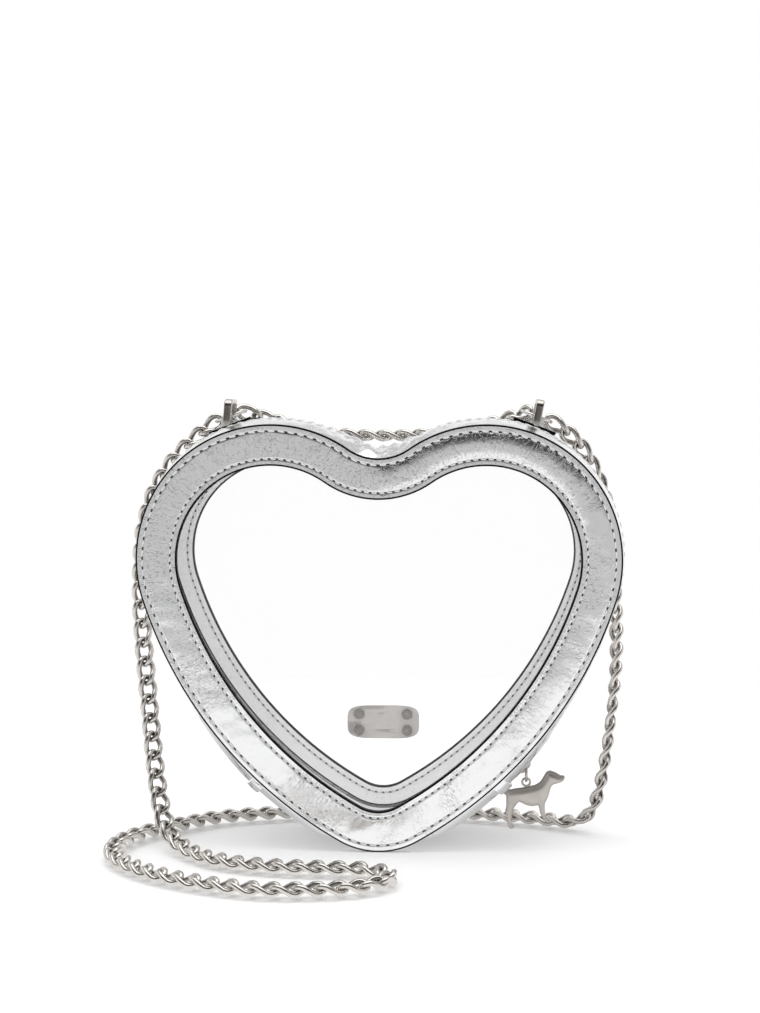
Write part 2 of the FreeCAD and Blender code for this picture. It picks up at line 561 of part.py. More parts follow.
def chain(points, first_wire, last_wire, level):
    """Links along a route; they lie flat where the route is at the level, and meet a ring's wire at each end."""
    fine, smallest = smooth_route(points)
    lengths = measured(fine)
    margin = LINK_INNER_LENGTH / 2 - CONNECTOR_WIRE / 2 - LINK_SLACK
    count = math.ceil((lengths[-1] - 2 * margin) / LINK_PITCH)
    step = (lengths[-1] - 2 * margin) / count
    marks = [margin + index * step for index in range(count + 1)]
    middles = [point_at(fine, lengths, mark) for mark in marks]
    runs = [Vector(point_at(fine, lengths, mark + step / 2) - point_at(fine, lengths, mark - step / 2)).normalize()
            for mark in marks]
    flat = [index for index in range(count + 1) if abs(middles[index].z - level) < LINK_WIRE / 2]
    widths = [run.cross(UP) for run in runs]
    for index in reversed(range(0, flat[0])):
        widths[index] = square_to(widths[index + 1], runs[index])
    for index in range(flat[-1] + 1, count + 1):
        widths[index] = square_to(widths[index - 1], runs[index])
    rolls = [TWIST_ANGLE + 90 * index for index in range(count + 1)]
    ends = ((0, flat[0], first_wire), (count, flat[-1], last_wire))
    for end, start, wire in ends:
        turned = Rotation(runs[end], rolls[end]).multVec(widths[end])
        excess = roll_between(turned, wire.cross(runs[end]), runs[end])
        for index in range(min(end, start), max(end, start) + 1):
            rolls[index] += excess * abs(index - start) / abs(end - start)
    links = []
    for middle, run, width, roll in zip(middles, runs, widths, rolls):
        link = LINK.copy()
        wide = Rotation(run, roll).multVec(square_to(width, run))
        link.Placement = Placement(middle, Rotation(run, wide, run.cross(wide), "XYZ"))
        links.append(link)
    print("chain of", count + 1, "links,", round(lengths[-1], 1), "long, smallest bend radius", round(smallest, 1))
    return links, marks, fine, lengths


def mark_near(fine, lengths, point):
    """Length along the route at the place nearest to a point."""
    nearest = min(range(len(fine)), key=lambda index: fine[index].distanceToPoint(point))
    return lengths[nearest]


LINK = chain_link()
FLOOR_LEVEL = (LINK_INNER_WIDTH + LINK_WIRE) / 2 * math.sin(math.radians(TWIST_ANGLE)) + LINK_WIRE / 2 + FLOOR_CLEARANCE
CHAIN_RADIUS = LOBE_RADIUS + arch(CHAIN_FROM_MIDDLE - LINK_HALF_WIDTH) + CHAIN_LEVEL
left_along = left_out.cross(ACROSS)
strap_start = left_connector + left_along * CONNECTOR_RADIUS
strap_end = mirrored(strap_start)


# Long chain: over the left lobe, down, round the floor, up behind the right lobe and over it
def lobe_points():
    """Way points round the outside of the left lobe, from the connector to the widest place."""
    points = []
    step = math.radians(LOBE_STEP_ANGLE)
    for number in (1, 2, 3):
        angle = left_turn + step * number
        points.append(polar(mirrored(LOBE), CHAIN_RADIUS / math.cos(step / 2), angle, CHAIN_FROM_MIDDLE))
    return points


def shoulder_points():
    """Way points that come up behind the back panel and over the right lobe to the connector."""
    points = []
    for turn, out, back in RIGHT_SHOULDER_SHARES:
        reach = LOBE_RADIUS + out * CHAIN_LEVEL
        points.append(polar(LOBE, reach, turn * math.pi / 2, HALF_DEPTH + back * CHAIN_LEVEL))
    return points


def hanging(shares):
    """Way points of a hanging stretch."""
    return [Vector(across * HEART_WIDTH, back * HEART_WIDTH, up * HEART_HEIGHT) for across, back, up in shares]


def on_floor(shares, depth):
    """Way points on the floor, with their depth as a share of the given one."""
    return [Vector(across * HEART_WIDTH, back * depth, FLOOR_LEVEL) for across, back in shares]


left_drop = hanging(LEFT_DROP_SHARES)
front_floor = on_floor(FRONT_FLOOR_SHARES, HEART_WIDTH)
left_loop = on_floor(LEFT_LOOP_SHARES, HEART_WIDTH)
rear_floor = on_floor(REAR_FLOOR_SHARES, HALF_DEPTH)
right_floor = on_floor(RIGHT_FLOOR_SHARES, HEART_WIDTH)
right_drop = hanging(RIGHT_DROP_SHARES)
strap_route = [strap_start] + lobe_points() + left_drop + front_floor + left_loop + rear_floor + right_floor
strap_route = strap_route + right_drop + shoulder_points() + [strap_end]
strap, strap_marks, strap_fine, strap_lengths = chain(strap_route, ACROSS, ACROSS, FLOOR_LEVEL)
borders = [mark_near(strap_fine, strap_lengths, point) for point in (front_floor[0], left_loop[0], right_floor[0])]
stretches = [[], [], [], []]
for link, mark in zip(strap, strap_marks):
    stretches[sum(mark > border for border in borders)].append(link)
for word, links in zip(("left_drop", "front_floor", "rear_floor", "right_drop"), stretches):
    save("chain_" + word, links)

# Short chain across the dip, hanging behind the back panel
swag_turn = math.radians(SWAG_ANGLE)
swag_way = ACROSS * math.sin(swag_turn) - left_along * math.cos(swag_turn)
swag_wire = ACROSS * math.cos(swag_turn) + left_along * math.sin(swag_turn)
swag_start = left_connector + swag_way * CONNECTOR_RADIUS
swag_end = mirrored(swag_start)
swag_route = [swag_start]
for across, drop in SWAG_SHARES:
    swag_route.append(Vector(across * HEART_WIDTH, HALF_DEPTH + SWAG_STANDOFF, HEART_HEIGHT - drop * SWAG_DROP))
swag_route.append(swag_end)
swag_low = min(point.z for point in swag_route)
save("chain_swag", chain(swag_route, swag_wire, mirrored(swag_wire), swag_low)[0])

# Places of the joints
print("flank centre", FLANK)
print("bail", bail_middle, "pull ring low", ring_low)
print("left bar", polar(mirrored(LOBE), LOBE_RADIUS + BAR_LEVEL, left_turn, TAB_FROM_MIDDLE))
print("slider travel in degrees", math.degrees(LOBE_START - slider_angle - SLIDER_LENGTH / FLANK_RADIUS))
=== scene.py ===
from math import pi
import bmesh
import bpy
import numpy as np
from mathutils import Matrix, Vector
from mathutils.geometry import delaunay_2d_cdt


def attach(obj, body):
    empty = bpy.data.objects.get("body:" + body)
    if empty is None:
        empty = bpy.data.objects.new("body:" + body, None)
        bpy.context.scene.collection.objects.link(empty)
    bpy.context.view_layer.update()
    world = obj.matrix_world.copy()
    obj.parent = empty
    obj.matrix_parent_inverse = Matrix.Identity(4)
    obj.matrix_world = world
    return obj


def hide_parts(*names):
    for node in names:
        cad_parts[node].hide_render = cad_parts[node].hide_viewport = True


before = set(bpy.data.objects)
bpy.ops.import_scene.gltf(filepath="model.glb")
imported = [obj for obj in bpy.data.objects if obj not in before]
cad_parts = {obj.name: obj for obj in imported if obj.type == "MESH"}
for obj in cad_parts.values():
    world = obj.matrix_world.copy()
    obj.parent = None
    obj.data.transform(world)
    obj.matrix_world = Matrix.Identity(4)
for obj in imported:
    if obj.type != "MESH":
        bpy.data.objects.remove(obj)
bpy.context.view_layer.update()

# Front and back frames of the heart: silver foiled leather on thin board, cut as heart shaped rings.
# The cut edges are painted black, and a row of stitches runs along the outer and the inner edge.
# All sizes are in millimetres, and the heart is a chain of arcs round tip, flanks, lobes and dip.
MM = 0.001
FRAME_WIDTH = 16.2
FRAME_THICK = 1.6
FRAME_CROWN = 0.75
SUEDE_INSET = 0.5
FRAME_PLANE = 23.4
EDGE_ROUNDING = 0.55
STITCH_INSET = 2.7
STITCH_PITCHES = (3.85, 3.0)
STITCH_HALF_SHARE = 0.36
STITCH_SLANT = 0.1
STITCH_BOW = 0.26
THREAD_RADIUS = 0.31
GROOVE_DEPTH = 0.16
GROOVE_WIDTH = 0.45
WAVE_HEIGHT = 0.045
TIP, FLANK, LOBE, DIP = np.array([[0.0, 31.0], [-67.4693, 150.2346], [42.0, 115.0], [0.0, 175.3179]])
OTHER_SIDE = np.array([-1.0, 1.0])
ARC_CENTRES = np.array([TIP, FLANK, LOBE, DIP, LOBE * OTHER_SIDE, FLANK * OTHER_SIDE, TIP])
ARC_RADII = np.array([31.0, 168.0, 53.0, 20.5, 53.0, 168.0, 31.0])
ARC_SENSES = np.array([1, 1, 1, -1, 1, 1, 1])
ARC_STARTS = np.radians([-90.0, -60.4965, -17.8417, -55.1501, 55.1501, 197.8417, 240.4965])
ARC_ENDS = np.radians([-60.4965, -17.8417, 124.8499, -124.8499, 197.8417, 240.4965, 270.0])
ARC_LENGTHS = ARC_RADII * np.abs(ARC_ENDS - ARC_STARTS)
ARC_MARKS = np.concatenate([[0.0], np.cumsum(ARC_LENGTHS)])
ROUND = ARC_MARKS[-1]
RIGHT_LOBE_RUN = ARC_MARKS[3] - 46.0
RIGHT_LOBE_HALF = 58.0
RIGHT_FLANK_RUN = 62.0
RIGHT_FLANK_RISE = 50.0
SHARP_ANGLE = 0.75


def placed(run, offset, depth):
    """Point of the heart's outline at a length from the tip, anticlockwise, moved outwards and in depth.

    On each arc it is the centre plus (radius + offset) times (cosine, sine) of the angle there."""
    run, offset, depth = np.broadcast_arrays(run % ROUND, offset, depth)
    arc = np.clip(np.searchsorted(ARC_MARKS, run, side="right") - 1, 0, len(ARC_RADII) - 1)
    angle = ARC_STARTS[arc] + (ARC_ENDS - ARC_STARTS)[arc] * (run - ARC_MARKS[arc]) / ARC_LENGTHS[arc]
    reach = ARC_RADII[arc] + ARC_SENSES[arc] * offset
    return np.stack([ARC_CENTRES[arc, 0] + reach * np.cos(angle), depth,
                     ARC_CENTRES[arc, 1] + reach * np.sin(angle)], -1)


def ripple(run, across, seed, longest, shortest):
    """Unit sum of slanted sine waves; a whole number of each goes round the heart, and long waves are highest."""
    chance = np.random.default_rng(seed)
    waves = chance.integers(int(ROUND / longest), int(ROUND / shortest), 20)
    slants = chance.normal(0.0, 0.25, 20)
    phases = chance.uniform(0.0, 2 * pi, 20)
    run, across = np.broadcast_arrays(run, across)
    turns = 2 * pi * waves * (run / ROUND)[..., None] + slants * across[..., None] + phases
    return (np.sin(turns) / waves).sum(-1) / np.sqrt((0.5 / waves ** 2).sum())


def full_turn(count):
    """Angles at equal steps round a full turn."""
    return np.linspace(0.0, 2 * pi, count + 1)[:-1]


def piece_of(name, mesh):
    """Piece of a mesh, with doubles merged, its faces turned outwards and smooth shading."""
    work = bmesh.new()
    work.from_mesh(mesh)
    bmesh.ops.remove_doubles(work, verts=work.verts, dist=1e-6)
    bmesh.ops.recalc_face_normals(work, faces=work.faces)
    work.to_mesh(mesh)
    work.free()
    mesh.shade_smooth()
    piece = bpy.data.objects.new(name, mesh)
    bpy.context.collection.objects.link(piece)
    return piece


def surface(name, points, wrap, uv=None, **marks):
    """Piece over a grid of points, rows along it and columns round it, for one form or many alike.

    Each face takes four neighbours of the grid. wrap joins the last row or column to the first, and the
    open ends of a tube get one face each. Edges bent by more than a set angle stay sharp."""
    points = points.reshape(-1, *points.shape[-3:])
    count, rows, cols = points.shape[:3]
    row = np.arange(rows if wrap[0] else rows - 1)[:, None]
    col = np.arange(cols if wrap[1] else cols - 1)[None, :]
    steps = ((0, 0), (1, 0), (1, 1), (0, 1))
    firsts = np.arange(count) * rows * cols
    faces = np.stack([(row + a) % rows * cols + (col + b) % cols for a, b in steps], -1).reshape(-1, 4)
    faces = (faces[None] + firsts[:, None, None]).reshape(-1, 4).tolist()
    if wrap[1] and not wrap[0]:
        rims = firsts[:, None] + np.arange(cols)
        faces = faces + rims.tolist() + (rims + (rows - 1) * cols).tolist()
    mesh = bpy.data.meshes.new(name)
    mesh.from_pydata((points.reshape(-1, 3) * MM).tolist(), [], faces)
    if uv is not None:
        spots = np.stack([(row + a) * uv.shape[1] + col + b for a, b in steps], -1).ravel()
        values = np.zeros((len(mesh.loops), 2))
        values[:count * len(spots)] = np.tile(uv.reshape(-1, 2)[spots], (count, 1))
        mesh.uv_layers.new(name="UVMap").data.foreach_set("uv", values.ravel())
    for key, values in marks.items():
        spread = np.broadcast_to(values, (count, rows, cols)).astype(np.float32).ravel()
        mesh.attributes.new(key, "FLOAT", "POINT").data.foreach_set("value", spread)
    piece = piece_of(name, mesh)
    mesh.set_sharp_from_angle(angle=SHARP_ANGLE)
    return piece


def dress(piece, material, slot, body, *nodes):
    """Give a piece its finish and its body, in place of the plain solids named."""
    piece.data.materials.append(material)
    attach(piece, body)
    if nodes:
        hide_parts(*nodes)
    return piece


def add(tree, kind, inputs, **options):
    """One node of a finish, with its options set and its inputs given or linked; returns its outputs."""
    node = tree.nodes.new("ShaderNode" + kind)
    for key, value in options.items():
        setattr(node, key, value)
    for key, value in inputs.items():
        if isinstance(value, bpy.types.NodeSocket):
            tree.links.new(value, node.inputs[key])
        else:
            node.inputs[key].default_value = value
    return node.outputs


def calc(tree, operation, *values):
    """Number worked out from one to three others."""
    return add(tree, "Math", dict(enumerate(values)), operation=operation)[0]


def rise(tree, value, low, high, start=0.0, end=1.0):
    """Smooth step of a value between two levels, from start to end."""
    limits = {"Value": value, "From Min": low, "From Max": high, "To Min": start, "To Max": end}
    return add(tree, "MapRange", limits, interpolation_type="SMOOTHSTEP")[0]


def tint(tree, share, first, second):
    """Colour between two others."""
    return add(tree, "Mix", {0: share, 6: first, 7: second}, data_type="RGBA")[2]


def finish(name, **values):
    """New material with one shader; returns the material, its tree and the shader's inputs."""
    material = bpy.data.materials.new(name)
    material.use_nodes = True
    inputs = material.node_tree.nodes["Principled BSDF"].inputs
    for key, value in values.items():
        inputs[key.replace("_", " ")].default_value = value
    return material, material.node_tree, inputs


def link(tree, inputs, **outputs):
    """Link outputs to the shader's inputs of the same name."""
    for key, value in outputs.items():
        tree.links.new(value, inputs[key.replace("_", " ")])


def foil_leather(name, light, dark, polish, creased, metal=1.0):
    """Foiled leather: fine pebbles, short folds across the strip in patches, and black paint on marked edges.

    Folds are the thin lines where a noise crosses its middle value, on a strip bent into a circle; their darker tint
    is partly worn foil and partly painted shade in the folds.
    Specks are the high spots of a finer noise, and needle holes are dark ovals on the two stitch rows, painted as the
    shade inside the holes.
    An edge mark of 1 is painted black, and one of -1 is the pale suede of the leather's inner side."""
    material, tree, inputs = finish(name, Metallic=metal, IOR=1.5)
    place = add(tree, "TexCoord", {})["Object"]
    spot = add(tree, "SeparateXYZ", {0: add(tree, "UVMap", {}, uv_map="UVMap")[0]})
    bent = [add(tree, "Attribute", {}, attribute_name=way)["Fac"] for way in ("bent_x", "bent_y")]
    bent = add(tree, "CombineXYZ", {0: bent[0], 1: bent[1], 2: calc(tree, "MULTIPLY", spot[1], 0.3)})[0]
    across = add(tree, "TexNoise", {"Vector": bent, "Scale": 0.42, "Detail": 3.0, "Distortion": 0.8})[0]
    folds = rise(tree, calc(tree, "ABSOLUTE", calc(tree, "SUBTRACT", across, 0.5)), 0.0, 0.022, 1.0, 0.0)
    loose = add(tree, "TexNoise", {"Vector": place, "Scale": 210.0, "Detail": 3.0, "Distortion": 1.5})[0]
    lines = rise(tree, calc(tree, "ABSOLUTE", calc(tree, "SUBTRACT", loose, 0.5)), 0.0, 0.016, 1.0, 0.0)
    zones = add(tree, "TexNoise", {"Vector": place, "Scale": 62.0, "Detail": 2.0})[0]
    where = add(tree, "SeparateXYZ", {0: place})
    # Creases and specks are fewer towards the bottom and at the right lobe's outer side, and a little more frequent
    # elsewhere.
    place_shift = calc(tree, "ADD", rise(tree, where[0], 0.062, 0.092, 0.1, -0.14),
                   rise(tree, where[2], 0.03, 0.09, -0.24, 0.0))
    worn = rise(tree, calc(tree, "ADD", zones, place_shift), 0.34, 0.56)
    creases = calc(tree, "MULTIPLY", calc(tree, "MAXIMUM", folds, calc(tree, "MULTIPLY", lines, 0.7)), worn)
    pebbles = add(tree, "TexNoise", {"Vector": place, "Scale": 760.0, "Detail": 2.0})[0]
    grain = add(tree, "TexNoise", {"Vector": place, "Scale": 2400.0, "Detail": 1.0})[0]
    waves = add(tree, "TexNoise", {"Vector": place, "Scale": 130.0, "Detail": 1.0})[0]
    specks = calc(tree, "MULTIPLY", rise(tree, pebbles, 0.57, 0.7), calc(tree, "MULTIPLY_ADD", worn, 0.6, 0.1))
    height = calc(tree, "MULTIPLY", pebbles, calc(tree, "MULTIPLY_ADD", worn, 0.3, 0.2))
    height = calc(tree, "MULTIPLY_ADD", grain, 0.1, calc(tree, "MULTIPLY_ADD", waves, 1.2, height))
    height = calc(tree, "MULTIPLY_ADD", creases, -0.45, height)
    bump = add(tree, "Bump", {"Strength": creased, "Distance": 0.0004, "Height": height})[0]
    along = calc(tree, "MULTIPLY", calc(tree, "PINGPONG", spot[0], 0.5), 0.6 * STITCH_PITCHES[1])
    aside = calc(tree, "SUBTRACT", calc(tree, "ABSOLUTE", calc(tree, "SUBTRACT", spot[1], FRAME_WIDTH / 2)),
                 FRAME_WIDTH / 2 - STITCH_INSET)
    aside = calc(tree, "MULTIPLY", aside, 1.25)
    span = calc(tree, "SQRT", calc(tree, "MULTIPLY_ADD", along, along, calc(tree, "MULTIPLY", aside, aside)))
    mark = add(tree, "Attribute", {}, attribute_name="edge")["Fac"]
    # Black edge paint, and needle holes as dark ovals of painted shade on the stitch rows.
    black = calc(tree, "MAXIMUM", rise(tree, mark, 0.45, 0.55), rise(tree, span, 0.34, 0.58, 0.9, 0.0))
    suede = rise(tree, mark, -0.55, -0.45, 1.0, 0.0)
    # Folds are tinted half way to the dark colour, partly as worn foil and partly as painted shade; specks are worn
    # foil.
    foil = tint(tree, calc(tree, "MAXIMUM", calc(tree, "MULTIPLY", creases, 0.5), specks), light, dark)
    rough = calc(tree, "MULTIPLY_ADD", worn, 0.06, polish)
    rough = calc(tree, "MULTIPLY_ADD", suede, 0.4, calc(tree, "MULTIPLY_ADD", black, 0.3, rough))
    skin = tint(tree, suede, foil, (0.93, 0.93, 0.935, 1.0))
    link(tree, inputs, Base_Color=tint(tree, black, skin, (0.012, 0.012, 0.013, 1.0)), Normal=bump, Roughness=rough,
         Metallic=rise(tree, suede, 0.0, 1.0, metal, 0.0))
    return material


def ring_section(width, thick, rows):
    """Section of a leather ring as inset, height, edge mark and crown.

    The crown is a parabola between the stitch rows, and a narrow groove runs along each row.
    The cut edges are marked as painted, and the flat underside between them as suede."""
    across = np.linspace(EDGE_ROUNDING, width - EDGE_ROUNDING, 46)
    crowned = np.clip(1 - ((across - width / 2) / (width / 2 - STITCH_INSET)) ** 2, 0, None)
    grooves = sum(np.exp(-((across - row) / GROOVE_WIDTH) ** 2) for row in rows)
    turn = np.linspace(0.0, pi / 2, 6)[1:]
    corner_in = EDGE_ROUNDING * (1 - np.sin(turn))
    corner_up = thick - EDGE_ROUNDING * (1 - np.cos(turn))
    below = [width, width - SUEDE_INSET, SUEDE_INSET, 0.0]
    inset = np.concatenate([across, width - corner_in, below, corner_in[::-1]])
    height = np.concatenate([thick - GROOVE_DEPTH * grooves, corner_up, [0.0] * 4, corner_up[::-1]])
    marked = np.concatenate([(across < across[1]) | (across > across[-2]), [1] * 6 + [-1] * 2 + [1] * 6])
    return inset, height, marked, np.concatenate([crowned, np.zeros(14)])


def stitch_scale(row, pitch):
    """Stitches along a row inside the outline up to the end of each arc: a whole number of pitches all round.

    The row's length on an arc is the outline's times 1 - sense * row / radius."""
    marks = np.concatenate([[0.0], np.cumsum(ARC_LENGTHS * (1 - ARC_SENSES * row / ARC_RADII))])
    return marks / marks[-1] * round(marks[-1] / pitch)


def leather_ring(name, start, width, thick, plane, facing, rows, crown, seed):
    """Heart shaped ring with its face at a height before a plane, filled most over the right lobe."""
    inset, height, edge, crowned = ring_section(width, thick, rows)
    run = np.linspace(0.0, ROUND, 721)
    round_run = run[:-1, None]
    from_lobe = (round_run - RIGHT_LOBE_RUN) / RIGHT_LOBE_HALF
    flank = np.clip((round_run - RIGHT_FLANK_RUN) / RIGHT_FLANK_RISE, 0, 1) * (round_run < ROUND / 2)
    filled = crown * (0.08 + 0.3 * flank + np.exp(-from_lobe ** 4))
    waves = WAVE_HEIGHT * ripple(round_run, inset[None], seed, 34, 6)
    level = height + filled * crowned + np.clip(2 * crowned, 0, 1) * waves
    points = placed(round_run, -start - inset[None], plane + facing * level)
    wide = np.append(inset, inset[0]) + start
    sewn = [np.interp(run, ARC_MARKS, scale)[:, None] for scale in row_scales]
    uv = np.stack(np.broadcast_arrays(np.where(wide < FRAME_WIDTH / 2, *sewn), wide[None]), -1)
    turn = 2 * pi * round_run / ROUND
    bent = ROUND / (2 * pi) * np.stack([np.cos(turn), np.sin(turn)])
    return surface(name, points, (True, True), uv, edge=edge, bent_x=bent[0], bent_y=bent[1])


def stitches(name, numbers, scale, place):
    """Thread between needle holes: each stitch is a thin tapered roll that bows up by a parabola.

    scale counts stitches up to the end of each arc, and place turns length, side step and height into points."""
    along = np.array([-1.0, -0.85, -0.4, 0.4, 0.85, 1.0])[:, None]
    turn = full_turn(6)[None]
    thick = THREAD_RADIUS * np.sqrt(1 - along ** 4)
    run = np.interp(numbers[:, None, None] + STITCH_HALF_SHARE * along, scale, ARC_MARKS)
    bow = STITCH_BOW * (1 - along ** 2) - 0.1
    points = place(run, STITCH_SLANT * along + thick * np.cos(turn), bow + thick * np.sin(turn))
    return surface(name, points, (False, True))


silver = foil_leather("silver_foil_leather", (0.93, 0.932, 0.938, 1.0), (0.52, 0.52, 0.53, 1.0), 0.14, 0.36)
thread, tree, inputs = finish("silver_thread", Roughness=0.55)
fibre = add(tree, "TexNoise", {"Vector": add(tree, "TexCoord", {})["Object"], "Scale": 3000.0})[0]
link(tree, inputs, Base_Color=tint(tree, fibre, (0.58, 0.58, 0.59, 1.0), (0.86, 0.86, 0.87, 1.0)))
frame_rows = (STITCH_INSET, FRAME_WIDTH - STITCH_INSET)
row_scales = [stitch_scale(row, pitch) for row, pitch in zip(frame_rows, STITCH_PITCHES)]
for word, facing in (("front", -1), ("back", 1)):
    ring = leather_ring(word + "_frame", 0.0, FRAME_WIDTH, FRAME_THICK, facing * FRAME_PLANE, facing, frame_rows,
                        FRAME_CROWN, 11 + facing)
    dress(ring, silver, "silver_leather", "bag", word + "_border")
    level = facing * (FRAME_PLANE + FRAME_THICK)
    for edge, row, scale in zip(("outer", "inner"), frame_rows, row_scales):
        sewn = stitches(word + "_stitches_" + edge, np.arange(scale[-1]) + 0.5, scale,
                        lambda run, aside, up: placed(run, aside - row, level + facing * up))
        dress(sewn, thread, "silver_leather", "bag")

# Clear windows: flat sheets of clear vinyl, sewn in behind the frames all round.
# The sheets keep their solids and only get the gloss of clear vinyl.
WHITE = (1.0, 1.0, 1.0, 1.0)
vinyl, tree, inputs = finish("clear_vinyl", Roughness=0.04, IOR=1.53, Alpha=0.018, Base_Color=WHITE)
wobble = add(tree, "TexNoise", {"Vector": add(tree, "TexCoord", {})["Object"], "Scale": 14.0, "Detail": 1.0})[0]
link(tree, inputs, Normal=add(tree, "Bump", {"Strength": 0.2, "Distance": 0.004, "Height": wobble})[0])


def coat_nodes(material, *nodes):
    """Give solids that keep their own shape a finish."""
    for node in nodes:
        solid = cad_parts[node]
        solid.data.materials.clear()
        solid.data.materials.append(material)


coat_nodes(vinyl, "front_window", "back_window")

# Facings inside the panels: narrower heart rings of matt silver leather behind the windows.
# They share the frames' inner row of stitches, and their cut edges are painted black too.
SEAM_PLANE = 22.8
FACING_START = 8.0
FACING_THICK = 0.8
lining = foil_leather("lining_leather", WHITE, (0.82, 0.82, 0.83, 1.0), 0.3, 0.22, 0.1)
for word, facing in (("front", 1), ("back", -1)):
    width = FRAME_WIDTH - FACING_START
    ring = leather_ring(word + "_inside_facing", FACING_START, width, FACING_THICK, -facing * SEAM_PLANE, facing,
                        (width - STITCH_INSET,), 0.1, 31 + facing)
    dress(ring, lining, "lining_leather", "bag", word + "_facing")
    level = -facing * (SEAM_PLANE - FACING_THICK)
    sewn = stitches(word + "_facing_stitches", np.arange(row_scales[1][-1]) + 0.5, row_scales[1],
                    lambda run, aside, up: placed(run, aside - frame_rows[1], level + facing * up))
    dress(sewn, thread, "lining_leather", "bag")

# Bottom gusset: one strip of the same leather round the tip, turned in as a flange against each panel.
# It is flat where the bag stands and swells towards the seams with the zip strips.
GUSSET_THICK = 1.2
FLANGE_WIDTH = 7.0
FLANGE_PLANE = SEAM_PLANE - GUSSET_THICK
BULGE = 2.0
FLAT_HALF = 9.0
PILLOW_HEIGHT = 3.4
PILLOW_REACH = 40.0
ZIP_HALF = 4.0
SEAM_RUN = ARC_MARKS[1] + ARC_RADII[1] * (np.radians(-46.0912) - ARC_STARTS[1])


def ease(share):
    """Smooth step from 0 to 1."""
    share = np.clip(share, 0.0, 1.0)
    return share * share * (3 - 2 * share)


def flank_pillow(run, depth):
    """Swell between the seams and the zip's line: a half sine wave, highest along the bottom and the strips' ends.

    It fades by a bell curve above the strips' ends, and by a smooth step towards the tip."""
    from_tip = np.abs((run + ROUND / 2) % ROUND - ROUND / 2)
    across = np.sin(pi * np.clip((np.abs(depth) - ZIP_HALF) / (SEAM_PLANE - ZIP_HALF), 0, 1)) ** 0.7
    above = np.clip(from_tip - SEAM_RUN, 0, None)
    return PILLOW_HEIGHT * across * np.exp(-(above / PILLOW_REACH) ** 2) * ease((from_tip - FLAT_HALF) / 18.0)


def bottom_swell(run, depth):
    """Rise of the bottom gusset: a parabola across it, growing from the tip to the seams, with slight creases."""
    grown = ease((np.abs(run) - FLAT_HALF) / (SEAM_RUN - FLAT_HALF))
    creases = 0.1 * ripple(run, depth, 41, 36, 9) * grown
    crown = 1 - np.clip(np.abs(depth) / SEAM_PLANE, 0, 1) ** 2
    return crown * (BULGE * grown + 1.2 * np.sin(pi * grown) + creases) + flank_pillow(run, depth)


over = np.linspace(-SEAM_PLANE, SEAM_PLANE, 43)
under = np.linspace(FLANGE_PLANE, -FLANGE_PLANE, 25)
depth = np.concatenate([over, [SEAM_PLANE, FLANGE_PLANE], under, [-FLANGE_PLANE, -SEAM_PLANE]])
level = np.concatenate([0 * over, [-FLANGE_WIDTH] * 2, 0 * under - GUSSET_THICK, [-FLANGE_WIDTH] * 2])
free = np.concatenate([0 * over + 1, [0, 0], 0 * under + 1, [0, 0]])
run = np.linspace(-SEAM_RUN, SEAM_RUN, 161)[:, None]
inside = np.concatenate([0 * over, [-1, -1], 0 * under - 1, [-1, -1]])
gusset = surface("bottom_gusset", placed(run, level + free * bottom_swell(run, depth), depth), (False, True),
                 edge=inside)
dress(gusset, silver, "silver_leather", "bag", "gusset_bottom")

# Zip strips: two bulged strips over the lobes and the dip, folded along the zip and turned in at the panels.
# The leather is drawn tight over the lobes and bunches up in creases in the dip.
FOLD_RADIUS = GUSSET_THICK / 2
DIP_REACH = 19.0
DIP_HEIGHT = 2.2
ZIP_STITCH_DEPTH = 6.4
ZIP_STITCH_END = 4
ARCH_RADIUS = (SEAM_PLANE ** 2 + BULGE ** 2) / (2 * BULGE)
zip_run = np.linspace(SEAM_RUN, ROUND - SEAM_RUN, 521)[:, None]


def arch(depth):
    """Circle across the bulged strips, above the heart's outline."""
    return np.sqrt(ARCH_RADIUS ** 2 - depth ** 2) - ARCH_RADIUS + BULGE


def strip_level(run, depth):
    """Outside of a zip strip: the arch and the flank's pillow, with a half sine wave from zip to seam in the dip."""
    pillow = np.sin(pi * np.clip((np.abs(depth) - ZIP_HALF) / (SEAM_PLANE - ZIP_HALF), 0, 1))
    from_dip = np.abs(run - ROUND / 2)
    dip = np.exp(-(from_dip / DIP_REACH) ** 2)
    creases = ripple(run, depth, 53, 28, 5)
    return arch(depth) + pillow * (DIP_HEIGHT * dip + (0.08 + 0.6 * dip) * creases) + flank_pillow(run, depth)


turn = np.linspace(0.0, pi, 8)
over = np.linspace(SEAM_PLANE, ZIP_HALF + FOLD_RADIUS, 27)
under = np.linspace(ZIP_HALF + FOLD_RADIUS, FLANGE_PLANE, 13)[1:]
depth = np.concatenate([over, ZIP_HALF + FOLD_RADIUS * (1 - np.sin(turn[1:])), under, [FLANGE_PLANE, SEAM_PLANE]])
drop = np.concatenate([0 * over, FOLD_RADIUS * (1 - np.cos(turn[1:])), 0 * under + GUSSET_THICK])
inside = np.concatenate([0 * over, 0 * turn[1:], 0 * under - 1, [-1, -1]])
for word, side in (("front", -1), ("back", 1)):
    level = strip_level(zip_run, side * depth[:-2]) - drop
    level = np.concatenate([level, np.full((len(zip_run), 2), -FLANGE_WIDTH)], 1)
    strip = surface(word + "_zip_strip", placed(zip_run, level, side * depth), (False, True), edge=inside)
    dress(strip, silver, "silver_leather", "bag", "zip_gusset_" + word)
    scale = stitch_scale(0.0, STITCH_PITCHES[0])
    ends = np.interp([SEAM_RUN + ZIP_STITCH_END, ROUND - SEAM_RUN - ZIP_STITCH_END], ARC_MARKS, scale)
    sewn = stitches(word + "_zip_stitches", np.arange(*ends), scale, lambda run, aside, up: placed(
        run, strip_level(run, side * (ZIP_STITCH_DEPTH + aside)) + up, side * (ZIP_STITCH_DEPTH + aside)))
    dress(sewn, thread, "silver_leather", "bag")

